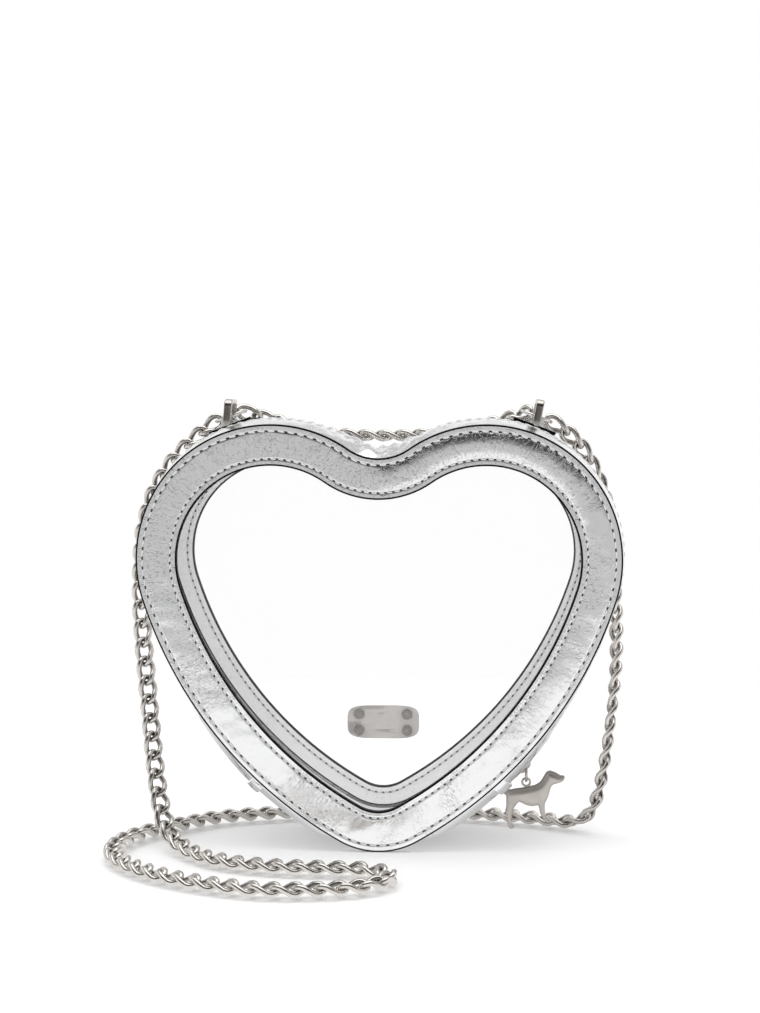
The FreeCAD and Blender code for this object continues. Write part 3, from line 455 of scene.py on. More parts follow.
# Zip: two woven tapes under the strips' edges, each with a row of moulded teeth that mesh in the middle.
# Small metal stops close both ends of the rows.
TAPE_INNER = 0.6
TAPE_OUTER = 11.6
TAPE_THICK = 0.6
TOOTH_PITCH = 1.15
TOOTH_MARGIN = 2.5
TOOTH_MIDDLE = 1.42
TOOTH_HALF = 1.22
TOOTH_RADII = (0.42, 0.66)
TOOTH_LIFT = 0.7
weave, tree, inputs = finish("zip_weave", Roughness=0.7)
place = add(tree, "TexCoord", {})["Object"]
ribs = add(tree, "TexNoise", {"Vector": place, "Scale": 1600.0, "Detail": 1.0})[0]
link(tree, inputs, Base_Color=tint(tree, ribs, (0.60, 0.60, 0.62, 1.0), (0.84, 0.84, 0.86, 1.0)),
     Normal=add(tree, "Bump", {"Strength": 0.4, "Distance": 0.0002, "Height": ribs})[0])
coil, tree, inputs = finish("zip_teeth", Roughness=0.3)
speck = add(tree, "TexNoise", {"Vector": add(tree, "TexCoord", {})["Object"], "Scale": 900.0})[0]
link(tree, inputs, Base_Color=tint(tree, speck, (0.70, 0.70, 0.71, 1.0), (0.88, 0.88, 0.89, 1.0)))
tape_over = np.linspace(TAPE_OUTER, TAPE_INNER, 9)
tape_depth = np.concatenate([tape_over, tape_over[::-1]])
tape_drop = np.repeat([GUSSET_THICK, GUSSET_THICK + TAPE_THICK], 9)
tooth_along = np.array([-1.0, -0.88, -0.5, 0.5, 0.88, 1.0])[:, None]
tooth_turn = full_turn(6)[None]
tooth_thick = np.sqrt(1 - tooth_along ** 6)
tooth_count = int((ROUND - 2 * SEAM_RUN - 2 * TOOTH_MARGIN) / TOOTH_PITCH)
for word, side in (("front", -1), ("back", 1)):
    tape = surface(word + "_zip_tape", placed(zip_run, arch(tape_depth) - tape_drop, side * tape_depth), (False, True))
    dress(tape, weave, "zip_tape", "bag", "zip_tape_" + word)
    spots = SEAM_RUN + TOOTH_MARGIN + (np.arange(tooth_count) + 0.5 + 0.25 * side) * TOOTH_PITCH
    depth = side * (TOOTH_MIDDLE + TOOTH_HALF * tooth_along + 0 * tooth_turn)
    run = spots[:, None, None] + TOOTH_RADII[0] * tooth_thick * np.cos(tooth_turn)
    level = arch(depth) - GUSSET_THICK + TOOTH_LIFT + TOOTH_RADII[1] * tooth_thick * np.sin(tooth_turn)
    teeth = surface(word + "_zip_teeth", placed(run, level, depth), (False, True))
    dress(teeth, coil, "zip_coil", "bag", "zip_coil_" + word)


def brushed_metal(name, colour, rough, streaks, metal=1.0, shaded=0.55):
    """Plated metal: fine brushed streaks, long one way, over a cloudy tone, and painted shade where it is marked."""
    material, tree, inputs = finish(name, Metallic=metal)
    place = add(tree, "TexCoord", {})["Object"]
    long = add(tree, "Mapping", {0: place, "Scale": streaks})[0]
    brush = add(tree, "TexNoise", {"Vector": long, "Scale": 1.0, "Detail": 3.0})[0]
    cloud = add(tree, "TexNoise", {"Vector": place, "Scale": 160.0, "Detail": 2.0})[0]
    shade = tuple(0.74 * part for part in colour)
    # The "shade" mark paints shade into the colour, darkening it towards the shaded share of it.
    painted_shade = add(tree, "Attribute", {}, attribute_name="shade")["Fac"]
    tone = tint(tree, calc(tree, "MULTIPLY", painted_shade, 0.8), tint(tree, cloud, (*shade, 1.0), (*colour, 1.0)),
                (*(shaded * part for part in colour), 1.0))
    link(tree, inputs, Roughness=rise(tree, brush, 0.2, 0.8, rough - 0.08, rough + 0.1), Base_Color=tone,
         Normal=add(tree, "Bump", {"Strength": 0.25, "Distance": 0.0001, "Height": brush})[0])
    return material


nickel = brushed_metal("brushed_nickel", (0.62, 0.585, 0.55), 0.2, (700.0, 700.0, 90.0))
coat_nodes(nickel, "zip_top_stops", "zip_bottom_stop")

# Tabs over the zip's ends: short pieces of the leather, folded and sewn across from panel to panel.
# They cover the seam between the zip strips and the bottom gusset.
TAB_OVER_LENGTH = 6.0
TAB_OVER_THICK = 1.4
TAB_OVER_GROOVE = 0.22
over = np.linspace(-SEAM_PLANE, SEAM_PLANE, 45)
depth = np.concatenate([over, over[::-1]])
share = np.concatenate([0 * over + 1, 0 * over])
along = np.linspace(-1.0, 1.0, 17)[:, None]
raised = share * TAB_OVER_THICK * (1 - 0.75 * along ** 10) - (1 - share) * 0.3
raised = raised - TAB_OVER_GROOVE * share * np.exp(-((np.abs(along) - 0.55) / 0.1) ** 2)
for word, middle in (("right", SEAM_RUN - TAB_OVER_LENGTH / 2), ("left", ROUND - SEAM_RUN + TAB_OVER_LENGTH / 2)):
    run = middle + along * TAB_OVER_LENGTH / 2
    level = arch(depth) + flank_pillow(run, depth) + raised
    cover = surface(word + "_zip_end_cover", placed(run, level, depth), (False, True))
    dress(cover, silver, "silver_leather", "bag", "zip_end_tab_" + word)

# Zip slider: two die cast plates joined by a post between the teeth, with a wire bail on top.
# It sits at the zip's lower right end and runs on the flank's arc.
SLIDER_ANGLE = np.radians(-43.9085)
SLIDER_PLATE = (4.0, 3.5, 4.0, 1.2, 0.4)
TOP_PLATE_CROWN = 0.35
TOP_PLATE_LIFT = 2.45
UNDER_PLATE_DROP = 1.35
SLIDER_POST = (2.4, 0.2, 3.0, 3.0, 0.1)
BAIL_HALF = 3.0
BAIL_FOOT = 3.45
BAIL_HEIGHT = 3.8
BAIL_WIRE = 0.6
BACKWARDS = np.array([0.0, 1.0, 0.0])
slider_out = np.array([np.cos(SLIDER_ANGLE), 0.0, np.sin(SLIDER_ANGLE)])
slider_along = np.array([np.sin(SLIDER_ANGLE), 0.0, -np.cos(SLIDER_ANGLE)])
slider_seat = np.array([FLANK[0], 0.0, FLANK[1]]) + ARC_RADII[1] * slider_out


def on_slider(along, across, out):
    """Points on the slider's seat: along the zip, across it and out of it."""
    along, across, out = (part[..., None] for part in np.broadcast_arrays(along, across, out))
    return slider_seat + along * slider_along + across * BACKWARDS + out * slider_out


def squared(wave, power):
    """Sine or cosine raised to a power with its sign kept, which squares off a circle."""
    return np.sign(wave) * np.abs(wave) ** power


def unit(vectors):
    """Vectors at length one."""
    return vectors / np.linalg.norm(vectors, axis=-1, keepdims=True)


def rounded_plate(half_long, half_wide, power, thick, rounding, crown):
    """Plate with a superellipse outline: from the middle of its top over a rounded rim to the middle below."""
    turn = full_turn(64)[:, None]
    bend = np.linspace(0.0, pi / 2, 5)
    inner = np.linspace(0.0, 1.0, 7)[:-1]
    drawn = np.concatenate([0 * inner, rounding * (np.sin(bend) - 1), rounding * (np.cos(bend) - 1), 0 * inner])
    share = np.concatenate([inner, 0 * bend + 1, 0 * bend + 1, inner[::-1]])
    drawn = np.where(share < 1, -rounding * share, drawn)
    height = np.concatenate([0 * inner + thick, thick - rounding * (1 - np.cos(bend)), rounding * (1 - np.sin(bend)),
                             0 * inner])
    height = height + crown * (1 - share ** 2) * (height > thick / 2)
    cosine, sine = squared(np.cos(turn), 2 / power), squared(np.sin(turn), 2 / power)
    return (half_long * share + drawn) * cosine, (half_wide * share + drawn) * sine, height + 0 * turn


def wire(path, radius):
    """Round wire along a row of points: rings square to the path, turned from a fixed side vector."""
    ahead = unit(np.gradient(path, axis=0))
    level = unit(np.cross(np.eye(3)[np.argmin(np.ptp(path, axis=0))][None], ahead))
    upright = np.cross(ahead, level)
    turn = full_turn(10)[:, None]
    return path[:, None] + radius * (np.cos(turn) * level[:, None] + np.sin(turn) * upright[:, None])


for name, crown, lift in (("slider_top_plate", TOP_PLATE_CROWN, TOP_PLATE_LIFT),
                          ("slider_under_plate", 0.0, -UNDER_PLATE_DROP)):
    along, across, out = rounded_plate(*SLIDER_PLATE, crown)
    plate = surface(name, on_slider(along, across, out + lift), (True, False))
    dress(plate, nickel, "nickel", "slider", "zip_slider")
along, across, out = rounded_plate(*SLIDER_POST, 0.0)
dress(surface("slider_post", on_slider(along, across, out - 0.3), (True, False)), nickel, "nickel", "slider")
bow = np.linspace(0.0, pi, 33)
bail_path = on_slider(-BAIL_HALF * squared(np.cos(bow), 0.5), 0.0, BAIL_FOOT + BAIL_HEIGHT * squared(np.sin(bow), 0.5))
dress(surface("slider_bail", wire(bail_path, BAIL_WIRE), (False, True)), nickel, "nickel", "slider")
coat_nodes(nickel, "pull_ring")

# Dog charm: a small cast dog in satin nickel that hangs by an eye from the pull ring.
# Its sides are softly domed from a narrow rim, and a band of painted shade darkens its back from tail to nose.
CHARM_CORNER = np.array([49.6627, 4.0957])
CHARM_SIZE = np.array([24.6, 24.0])
CHARM_EYE = np.array([58.7893, 0.0, 23.1997])
EYE_RADIUS = 1.575
EYE_TUBE = (0.475, 0.6)
DOG_STEP = 0.36
DOG_MARGIN = 0.22
DOG_RIM_HALF = 0.45
DOME_RISE = 1.0
DOME_REACH = 2.7
RIDGE_WIDTH = 2.7
RIDGE_FADE = 1.5
RIDGE_DEPTH = 0.3
BACK_COUNT = 61
DOG_SHARES = np.array([
    (0.005, 0.605), (0.057, 0.656), (0.115, 0.667), (0.209, 0.687), (0.313, 0.702), (0.418, 0.726), (0.522, 0.753),
    (0.595, 0.801), (0.642, 0.868), (0.678, 0.935), (0.715, 0.981), (0.762, 0.995), (0.809, 0.982), (0.861, 0.960),
    (0.929, 0.919), (0.992, 0.909), (0.997, 0.866), (0.960, 0.812), (0.887, 0.782), (0.814, 0.758), (0.772, 0.704),
    (0.749, 0.608), (0.715, 0.511), (0.681, 0.441), (0.678, 0.349), (0.691, 0.247), (0.736, 0.183), (0.788, 0.134),
    (0.736, 0.108), (0.678, 0.126), (0.635, 0.199), (0.600, 0.285), (0.581, 0.376), (0.558, 0.403), (0.470, 0.389),
    (0.365, 0.411), (0.261, 0.457), (0.209, 0.409), (0.159, 0.328), (0.138, 0.242), (0.134, 0.134), (0.151, 0.081),
    (0.186, 0.038), (0.141, 0.002), (0.092, 0.018), (0.071, 0.091), (0.054, 0.188), (0.029, 0.290), (0.045, 0.371),
    (0.045, 0.478), (0.042, 0.565)])


def smooth_loop(corners, parts):
    """Closed curve through corners: on each stretch a cubic with slopes from the neighbours on either side."""
    step = (np.arange(parts) / parts)[None, :, None]
    before, here, after, beyond = (np.roll(corners, shift, 0)[:, None] for shift in (1, 0, -1, -2))
    curve = 2 * here + (after - before) * step + (2 * before - 5 * here + 4 * after - beyond) * step ** 2
    return ((curve + (3 * here - before - 3 * after + beyond) * step ** 3) / 2).reshape(-1, 2)


def rim_distance(spots, rim):
    """Least distance from each spot to the sides of a closed rim, and whether the spot lies inside it."""
    start, end = rim[None], np.roll(rim, -1, 0)[None]
    side, reach = end - start, spots[:, None] - start
    share = np.clip((reach * side).sum(-1) / (side ** 2).sum(-1), 0, 1)
    away = np.linalg.norm(reach - share[..., None] * side, axis=-1).min(1)
    level = (start[..., 1] > spots[:, None, 1]) != (end[..., 1] > spots[:, None, 1])
    cut = start[..., 0] + side[..., 0] * (spots[:, None, 1] - start[..., 1]) / (side[..., 1] + 1e-12)
    return away, (level & (spots[:, None, 0] < cut)).sum(1) % 2 == 1


rim = CHARM_CORNER + smooth_loop(DOG_SHARES, 4) * CHARM_SIZE
grid = np.stack(np.meshgrid(np.arange(0, 25, DOG_STEP), np.arange(0, 24.6, DOG_STEP)), -1)
grid = grid.reshape(-1, 2) + CHARM_CORNER
away, inside = rim_distance(grid, rim)
spots = np.concatenate([rim, grid[inside & (away > DOG_MARGIN)]])
sides = [(index, (index + 1) % len(rim)) for index in range(len(rim))]
flat, _, cells, *_ = delaunay_2d_cdt([Vector(spot) for spot in spots], sides, [], 1, 1e-5)
flat = np.array([tuple(spot) for spot in flat])
away, _ = rim_distance(flat, rim)
away[:len(rim)] = 0
from_back = np.linalg.norm(flat[:, None] - rim[None, :BACK_COUNT], axis=-1).min(1)
# Painted shade: a band along the back, marked darker in the colour and also dented a little.
painted_shade = ease((RIDGE_WIDTH - from_back) / RIDGE_FADE)
dome = DOG_RIM_HALF + DOME_RISE * np.sqrt(1 - (1 - np.clip(away / DOME_REACH, 0, 1)) ** 2)
dome = dome - RIDGE_DEPTH * painted_shade * np.clip(away, 0, 1)
near, far = (np.stack([flat[:, 0], sign * dome, flat[:, 1]], 1) for sign in (-1, 1))
count = len(flat)
cells = [list(cell) for cell in cells]
backs = [[index + count for index in reversed(cell)] for cell in cells]
walls = [[start, end, end + count, start + count] for start, end in sides]
mesh = bpy.data.meshes.new("dog_charm_body")
mesh.from_pydata((np.concatenate([near, far]) * MM).tolist(), [], cells + backs + walls)
mesh.attributes.new("shade", "FLOAT", "POINT").data.foreach_set("value", np.tile(painted_shade, 2).astype(np.float32))
satin = brushed_metal("satin_nickel", (0.73, 0.68, 0.635), 0.42, (260.0, 260.0, 260.0), 0.8, 0.48)
dress(piece_of("dog_charm_body", mesh), satin, "satin_nickel", "charm", "dog_charm")
turn = full_turn(48)
tube = full_turn(12)[:, None]
round_out = np.stack([np.cos(turn), 0 * turn, np.sin(turn)], 1)[:, None]
eye_points = CHARM_EYE + (EYE_RADIUS + EYE_TUBE[0] * np.cos(tube)) * round_out
eye_points = eye_points + EYE_TUBE[1] * np.sin(tube) * BACKWARDS
dress(surface("dog_charm_eye", eye_points, (True, True)), satin, "satin_nickel", "charm")

# Tabs for the chain's rings: leather straps looped round each ring's bar and sewn flat on the rear strip.
# Their long cut edges are painted black, and their lower corners follow the strip below.
RING_TAB_TURN = np.radians(21.0075)
RING_TAB_HALF = 8.5
RING_TAB_THICK = 1.4
LOOP_RADIUS = 2.3
LOOP_REACH = 2.7
BAR_LEVEL = 4.0867
TAB_NEAR, TAB_FAR = 8.3, 17.3
LOW_EDGE = 0.05
right_tab_run = ARC_MARKS[2] + ARC_RADII[2] * (pi / 2 - RING_TAB_TURN - ARC_STARTS[2])
along = np.linspace(-RING_TAB_HALF, RING_TAB_HALF, 61)[:, None]
hump = BAR_LEVEL + LOOP_RADIUS - arch(TAB_FAR) - RING_TAB_THICK
loop_over = RING_TAB_THICK + hump * np.exp(-(np.abs(along) / LOOP_REACH) ** 2.6)
depth = np.concatenate([np.linspace(TAB_NEAR + 0.4, TAB_FAR - 0.4, 9), [TAB_FAR - 0.1], [TAB_FAR] * 4, [TAB_NEAR] * 4,
                        [TAB_NEAR + 0.1]])
drop = np.array([0.0] * 9 + [0.08, 0.3, 9.0, 9.0, 9.0, 9.0, 9.0, 9.0, 0.3, 0.08])
floor = np.array([0.0] * 9 + [0.0, 1.3, 1.3, 1.2, LOW_EDGE, LOW_EDGE, 1.2, 1.3, 1.3, 0.0])
edge = np.array([0.0] * 9 + [0.0, 0.0, 0.0, 1.0, 1.0, 1.0, 1.0, 0.0, 0.0, 0.0])
straight = along ** 2 / (2 * ARC_RADII[2]) * (floor != LOW_EDGE)
for word, middle in (("right", right_tab_run), ("left", ROUND - right_tab_run)):
    level = strip_level(middle + along, depth) + np.maximum(loop_over - drop, floor) + straight
    strap = surface(word + "_ring_tab", placed(middle + along, level, depth), (False, True), edge=edge)
    dress(strap, silver, "silver_leather", "bag", "ring_tab_" + word)

# Rings for the chain: flat brushed nickel strip bent square round a straight bar.
# Each swings on its bar in the loop of its tab.
RING_HALF = 9.1
RING_TOP = 8.1
RING_BEND = 1.9
RING_LEAN = 0.9
RING_BREADTH_HALF = 1.6
RING_THICK_HALF = 1.1
BAR_RADIUS = 1.2
BAR_HALF = 8.2
bar_places = {"left": (np.array([-62.4650, 12.8, 168.2924]), np.radians(4.0)),
              "right": (np.array([62.4650, 12.8, 168.2924]), np.radians(11.0))}
bend = np.linspace(0.0, pi / 2, 9)
foot = -RING_BREADTH_HALF * np.cos(np.linspace(0.05, pi / 2, 8))
limb = np.concatenate([foot, np.linspace(0.8, RING_TOP - RING_BEND, 8)])
lean_in = RING_LEAN * np.clip(limb / (RING_TOP - RING_BEND), 0, 1)
half_path = np.concatenate([np.stack([lean_in - RING_HALF, limb], 1), np.stack(
    [RING_LEAN - RING_HALF + RING_BEND * (1 - np.cos(bend)), RING_TOP - RING_BEND * (1 - np.sin(bend))], 1)[1:]])
path = np.concatenate([half_path, np.array([[0.0, RING_TOP]]), half_path[::-1] * OTHER_SIDE])
ahead = unit(np.gradient(path, axis=0))
sideways = RING_THICK_HALF * np.stack([-ahead[:, 1], ahead[:, 0]], 1)
breadth = np.sqrt(np.clip(RING_BREADTH_HALF ** 2 - np.clip(-path[:, 1], 0, None) ** 2, 0.01, None))
turn = full_turn(24)
broad, thin = squared(np.cos(turn), 0.4), squared(np.sin(turn), 0.4)
ring_grid = np.stack([breadth[:, None] * broad, path[:, :1] + sideways[:, :1] * thin,
                      path[:, 1:] + sideways[:, 1:] * thin], -1)
bar_grid = np.stack(np.broadcast_arrays(BAR_RADIUS * np.cos(turn), np.linspace(-BAR_HALF, BAR_HALF, 5)[:, None],
                                        BAR_RADIUS * np.sin(turn)), -1)
for word, (bar, lean) in bar_places.items():
    tilt = np.array([[np.cos(lean), 0.0, -np.sin(lean)], [0.0, 1.0, 0.0], [np.sin(lean), 0.0, np.cos(lean)]])
    strip = surface(word + "_ring_strip", ring_grid @ tilt + bar, (False, True))
    dress(strip, nickel, "nickel", word + "_ring", "d_ring_" + word)
    dress(surface(word + "_ring_bar", bar_grid @ tilt + bar, (False, True)), nickel, "nickel", word + "_ring")

# Chain strap: a curb chain of twisted oval links in warm brushed nickel, joined by a round ring at each end.
# It goes over the left lobe, lies folded on the floor in front, passes behind and comes up on the right.
LINK_PITCH = 8.0
LINK_WIRE = 2.2
LINK_REACH = 5.4
LINK_HALF = 2.9
LINK_TWIST = 36.0
LINK_SIDES = 9
LINK_SQUARE = 0.8
RING_SEAT = 1.3
CHAIN_ROUTE = [
    (-0.06923, 0.02455, 0.16805), (-0.08068, 0.022, 0.15949), (-0.09356, 0.022, 0.14357),
    (-0.10023, 0.022, 0.12421), (-0.10108, 0.02052, 0.09744), (-0.0988, 0.01425, 0.07644),
    (-0.095, 0.00532, 0.05292), (-0.09101, -0.00684, 0.03108), (-0.08702, -0.01748, 0.01596),
    (-0.08265, -0.02622, 0.00773), (-0.0741, -0.03895, 0.00375), (-0.06004, -0.05396, 0.00375),
    (-0.03895, -0.06232, 0.00375), (-0.0171, -0.06384, 0.00375), (0.00076, -0.06441, 0.00375),
    (0.0076, -0.076, 0.00375), (0.00076, -0.08797, 0.00375), (-0.0171, -0.09348, 0.00375),
    (-0.03895, -0.095, 0.00375), (-0.06194, -0.08645, 0.00375), (-0.08398, -0.07201, 0.00375),
    (-0.09994, -0.05206, 0.00375), (-0.10298, -0.03192, 0.00375), (-0.0969, -0.01292, 0.00375),
    (-0.08208, 0.00399, 0.00375), (-0.06802, 0.018, 0.00375), (-0.04693, 0.0255, 0.00375),
    (-0.02394, 0.0315, 0.00375), (0.0, 0.0325, 0.00375), (0.02394, 0.031, 0.00375), (0.04807, 0.0265, 0.00375),
    (0.06802, 0.019, 0.00375), (0.0779, 0.01368, 0.00375), (0.08645, 0.00988, 0.0089), (0.09063, 0.01102, 0.0252),
    (0.09462, 0.01653, 0.0504), (0.09699, 0.0247, 0.07224), (0.09652, 0.03097, 0.09206), (0.09492, 0.03252, 0.112),
    (0.09302, 0.03201, 0.13301), (0.08601, 0.0295, 0.15106), (0.07801, 0.02599, 0.16249),
    (0.06923, 0.02455, 0.16805)]


def route_line(name, route):
    """Points along the smooth spline that has the route as its control points, in mm, with lengths up to each."""
    curve = bpy.data.curves.new(name, "CURVE")
    curve.dimensions = "3D"
    spline = curve.splines.new("NURBS")
    spline.points.add(len(route) - 1)
    spline.points.foreach_set("co", np.column_stack([route, np.ones(len(route))]).ravel())
    spline.order_u = 3
    spline.use_endpoint_u = True
    spline.resolution_u = 16
    holder = bpy.data.objects.new(name, curve)
    line = bpy.data.meshes.new_from_object(holder)
    points = np.empty(len(line.vertices) * 3)
    line.vertices.foreach_get("co", points)
    bpy.data.objects.remove(holder)
    bpy.data.meshes.remove(line)
    points = points.reshape(-1, 3) / MM
    return points, np.concatenate([[0.0], np.cumsum(np.linalg.norm(np.diff(points, axis=0), axis=1))])


def along_line(points, lengths, marks):
    """Points at given lengths along a line."""
    return np.stack([np.interp(marks, lengths, points[:, axis]) for axis in range(3)], -1)


def turned(vectors, axes, angle):
    """Vectors turned about unit axes that they are square to."""
    angle = np.asarray(angle)[..., None]
    return vectors * np.cos(angle) + np.cross(axes, vectors) * np.sin(angle)


def link_form():
    """One curb link: an oval of round wire whose plane turns along it, so that it hooks its neighbours flat."""
    turn = full_turn(24)
    along = LINK_REACH * squared(np.cos(turn), LINK_SQUARE)
    aside = LINK_HALF * squared(np.sin(turn), LINK_SQUARE)
    roll = np.radians(LINK_TWIST) * np.sin(pi / 2 * np.clip(along / (0.8 * LINK_REACH), -1, 1))
    path = np.stack([along, aside * np.cos(roll), aside * np.sin(roll)], 1)
    ahead = unit(np.roll(path, -1, 0) - np.roll(path, 1, 0))
    face = np.stack([0 * roll, -np.sin(roll), np.cos(roll)], 1)
    face = unit(face - ahead * (face * ahead).sum(-1, keepdims=True))
    other = np.cross(ahead, face)
    tube = full_turn(LINK_SIDES)[:, None]
    return path[:, None] + LINK_WIRE / 2 * (np.cos(tube) * face[:, None] + np.sin(tube) * other[:, None])


def chain(name, route, first_wire, last_wire):
    """Links along the route's spline, flat on the floor or where it hangs lowest, turned at its ends onto the rings.

    RING_SEAT is how far the middle of a ring's wire lies from the inner end of the link on it."""
    points, lengths = route_line(name + "_line", route)
    margin = LINK_REACH - LINK_WIRE / 2 - RING_SEAT
    steps = int(np.ceil((lengths[-1] - 2 * margin) / LINK_PITCH))
    marks = np.linspace(margin, lengths[-1] - margin, steps + 1)
    middles = along_line(points, lengths, marks)
    half = LINK_PITCH / 2
    runs = unit(along_line(points, lengths, marks + half) - along_line(points, lengths, marks - half))
    lowest = np.flatnonzero(middles[:, 2] < middles[:, 2].min() + 1.0)
    first, last = lowest[0], lowest[-1]
    widths = np.cross(runs, [0.0, 0.0, 1.0])
    for index in range(first - 1, -1, -1):
        widths[index] = widths[index + 1] - runs[index] * widths[index + 1].dot(runs[index])
    for index in range(last + 1, steps + 1):
        widths[index] = widths[index - 1] - runs[index] * widths[index - 1].dot(runs[index])
    widths = unit(widths)
    rolls = np.zeros(steps + 1)
    for end, start, ring, twist in ((0, first, first_wire, -LINK_TWIST), (steps, last, last_wire, LINK_TWIST)):
        hook = turned(widths[end], runs[end], np.radians(twist))
        wanted = unit(np.cross(ring, runs[end]))
        excess = np.arctan2(runs[end].dot(np.cross(hook, wanted)), hook.dot(wanted))
        excess = (excess + pi / 2) % pi - pi / 2
        stretch = np.arange(min(end, start), max(end, start) + 1)
        rolls[stretch] += excess * ease(np.abs(stretch - start) / abs(end - start))
    widths = turned(widths, runs, rolls)
    axes = np.stack([runs, widths, np.cross(runs, widths)], 1)
    links = np.einsum("rcj,njk->nrck", link_form(), axes) + middles[:, None, None]
    # Painted shade: the inner side of each link's wire, facing its neighbours, is marked to be darkened.
    inside = np.clip(-np.sin(full_turn(LINK_SIDES)), 0, 1)
    return surface(name, links, (True, True), shade=inside), points * MM, lengths[-1] * MM


RING_ALONG = np.array([-0.93353, 0.0, -0.35849])
chain_nickel = brushed_metal("chain_nickel", (0.86, 0.82, 0.775), 0.24, (900.0, 900.0, 900.0), 1.0, 0.18)
coat_nodes(chain_nickel, "connector_left", "connector_right")
strap, strap_path, strap_length = chain("chain_strap", CHAIN_ROUTE, BACKWARDS, BACKWARDS)
dress(strap, chain_nickel, "chain_nickel", "bag", "chain_left_drop", "chain_front_floor", "chain_rear_floor",
      "chain_right_drop")

# Short chain between the two end rings: the same links, hung slack behind the back panel across the dip.
# Its end links hook the rings where the wire runs at 45 degrees.
SWAG_ROUTE = [
    (-0.05903, 0.02908, 0.17197), (-0.05168, 0.034, 0.1692), (-0.0361, 0.034, 0.16512), (-0.01805, 0.034, 0.16272),
    (0.0, 0.034, 0.162), (0.01805, 0.034, 0.16272), (0.0361, 0.034, 0.16512), (0.05168, 0.034, 0.1692),
    (0.05903, 0.02908, 0.17197)]
swag_wire = BACKWARDS * np.cos(pi / 4) + RING_ALONG * np.sin(pi / 4)
swag, swag_path, swag_length = chain("chain_swag_links", SWAG_ROUTE, swag_wire, swag_wire * np.array([-1.0, 1.0, 1.0]))
dress(swag, chain_nickel, "chain_nickel", "bag", "chain_swag")

# Plain plate on the back window: satin nickel, held through the vinyl by four rivets with washers inside.
# Rivets and washers keep their solids and are darker than the plate.
PLATE_FORM = (15.0, 7.0, 4.2, 1.2, 0.3, 0.1)
PLATE_MIDDLE = 43.0
along, up, out = rounded_plate(*PLATE_FORM)
points = np.stack([along, FRAME_PLANE + out, PLATE_MIDDLE + up], -1)
pale_satin = brushed_metal("pale_satin_nickel", (0.83, 0.79, 0.76), 0.42, (90.0, 900.0, 900.0), 0.3)
dress(surface("back_plate", points, (True, False)), pale_satin, "satin_nickel", "bag", "emblem_plate")
dark_nickel = brushed_metal("dark_nickel", (0.36, 0.34, 0.32), 0.3, (700.0, 700.0, 700.0))
coat_nodes(dark_nickel, "emblem_rivets", "emblem_washers")

# Table, light and camera: a flat pale board, a wide soft lamp above, and a white room.
# Reflections alone show its shaded walls: the one before the bag darkens upwards, the one behind stays paler.
TABLE_HALF = 3.0
FOCAL_PIXELS = 1854.44
IMAGE_HEIGHT = 1013
SENSOR_HEIGHT = 36.0
CAMERA_PITCH = 0.0631
CAMERA_YAW = 0.0443
floor_mesh = bpy.data.meshes.new("table")
corners = [(TABLE_HALF * x, TABLE_HALF * y, 0) for x, y in ((-1, -1), (1, -1), (1, 1), (-1, 1))]
floor_mesh.from_pydata(corners, [], [(0, 1, 2, 3)])
table = bpy.data.objects.new("table", floor_mesh)
bpy.context.collection.objects.link(table)
board, tree, inputs = finish("pale_board", Roughness=0.9, Specular_IOR_Level=0.0, Emission_Color=WHITE)
place = add(tree, "TexCoord", {})["Object"]
from_front = add(tree, "SeparateXYZ", {0: place})[1]
rays = add(tree, "LightPath", {})
seen = calc(tree, "MAXIMUM", rays["Is Camera Ray"], rays["Is Transmission Ray"])
spread = add(tree, "VectorMath", {0: place}, operation="LENGTH")["Value"]
far = rise(tree, spread, 0.2, 0.42)
# In reflections the board is painted grey towards the front, and a painted shadow lies under and behind the bag's
# middle.
near_edge = rise(tree, from_front, -0.47, -0.41, 0.56, 1.0)
under = calc(tree, "MULTIPLY", rise(tree, from_front, -0.04, 0.0), rise(tree, spread, 0.07, 0.2, 0.45, 0.0))
near_edge = calc(tree, "MULTIPLY", near_edge, calc(tree, "SUBTRACT", 1.0, under))
plain = rise(tree, far, 0.0, 0.85, 0.16, 1.0)
glow = calc(tree, "ADD", calc(tree, "MULTIPLY", seen, plain), calc(tree, "MULTIPLY", rays["Is Glossy Ray"], near_edge))
white = tint(tree, calc(tree, "MAXIMUM", calc(tree, "MULTIPLY", seen, far), rays["Is Glossy Ray"]),
             (0.82, 0.82, 0.82, 1.0), (0.0, 0.0, 0.0, 1.0))
link(tree, inputs, Emission_Strength=glow, Base_Color=white)
table.data.materials.append(board)

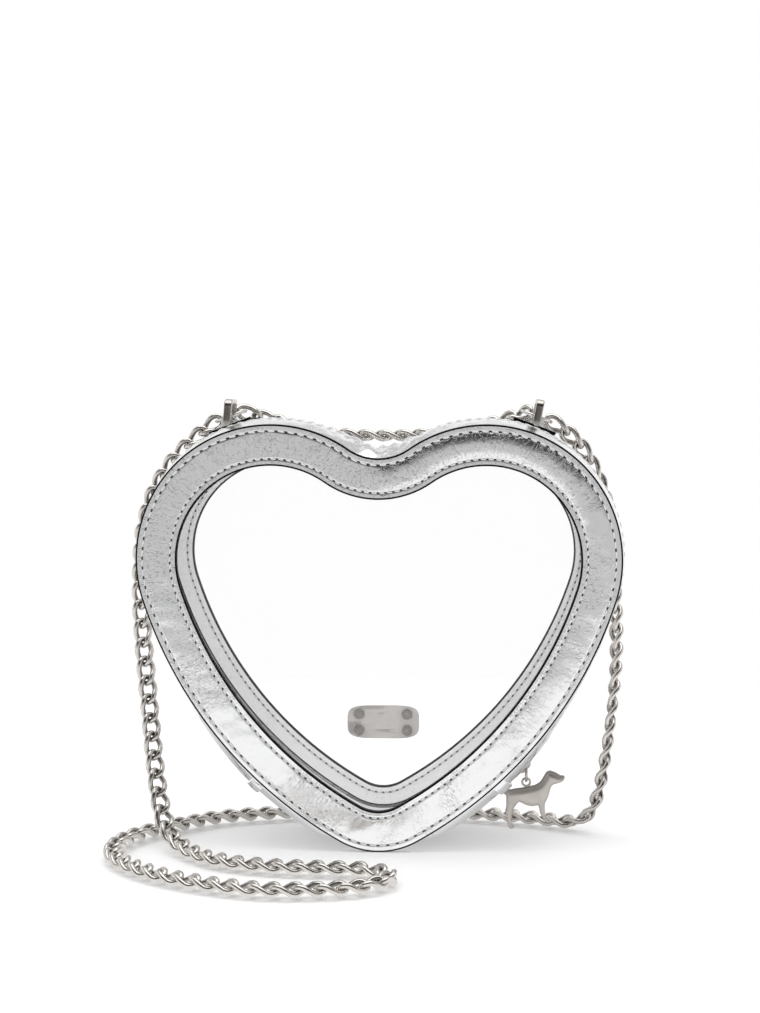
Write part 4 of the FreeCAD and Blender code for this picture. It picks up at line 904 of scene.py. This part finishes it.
world = bpy.data.worlds.new("pale_room")
bpy.context.scene.world = world
world.use_nodes = True
tree = world.node_tree
way = add(tree, "SeparateXYZ", {0: add(tree, "TexCoord", {})["Generated"]})
rays = add(tree, "LightPath", {})
ahead = rise(tree, way[1], -0.55, 0.05, 1.0, 0.0)
height = calc(tree, "MULTIPLY_ADD", way[2], 0.5, 0.5)
before = ((0.485, 0.6), (0.53, 0.58), (0.575, 0.46), (0.63, 0.15), (0.69, 0.04), (0.88, 0.03), (0.95, 1.0))
behind = ((0.5, 1.0), (0.61, 1.0), (0.68, 0.84), (0.76, 0.56), (0.92, 0.56))
walls = []
for shades in (behind, before):
    walls.append(add(tree, "ValToRGB", {0: height})[0])
    ramp = tree.nodes[-1].color_ramp
    for place, grey in shades:
        ramp.elements.new(place).color = (grey, grey, grey, 1.0)
    ramp.elements.remove(ramp.elements[0])
    ramp.elements.remove(ramp.elements[-1])
room = tint(tree, ahead, *walls)
shown = tint(tree, rays["Is Glossy Ray"], WHITE, room)
seen = calc(tree, "MAXIMUM", calc(tree, "MAXIMUM", rays["Is Camera Ray"], rays["Is Transmission Ray"]),
            rays["Is Glossy Ray"])
tree.links.new(tint(tree, seen, WHITE, shown), tree.nodes["Background"].inputs["Color"])

lamp_data = bpy.data.lights.new("soft_lamp", "AREA")
lamp_data.shape = "RECTANGLE"
lamp_data.size = 1.3
lamp_data.size_y = 1.0
lamp_data.energy = 5.0
lamp = bpy.data.objects.new("soft_lamp", lamp_data)
lamp.location = (0.0, 0.05, 1.1)
bpy.context.collection.objects.link(lamp)

camera_data = bpy.data.cameras.new("camera")
camera_data.sensor_fit = "VERTICAL"
camera_data.sensor_height = SENSOR_HEIGHT
camera_data.lens = FOCAL_PIXELS / IMAGE_HEIGHT * SENSOR_HEIGHT
camera = bpy.data.objects.new("camera", camera_data)
camera.location = (0.0326, -0.7425, 0.1815)
camera.rotation_euler = (pi / 2 - CAMERA_PITCH, 0.0, CAMERA_YAW)
bpy.context.collection.objects.link(camera)
bpy.context.scene.camera = camera
bpy.context.scene.view_settings.view_transform = "Standard"
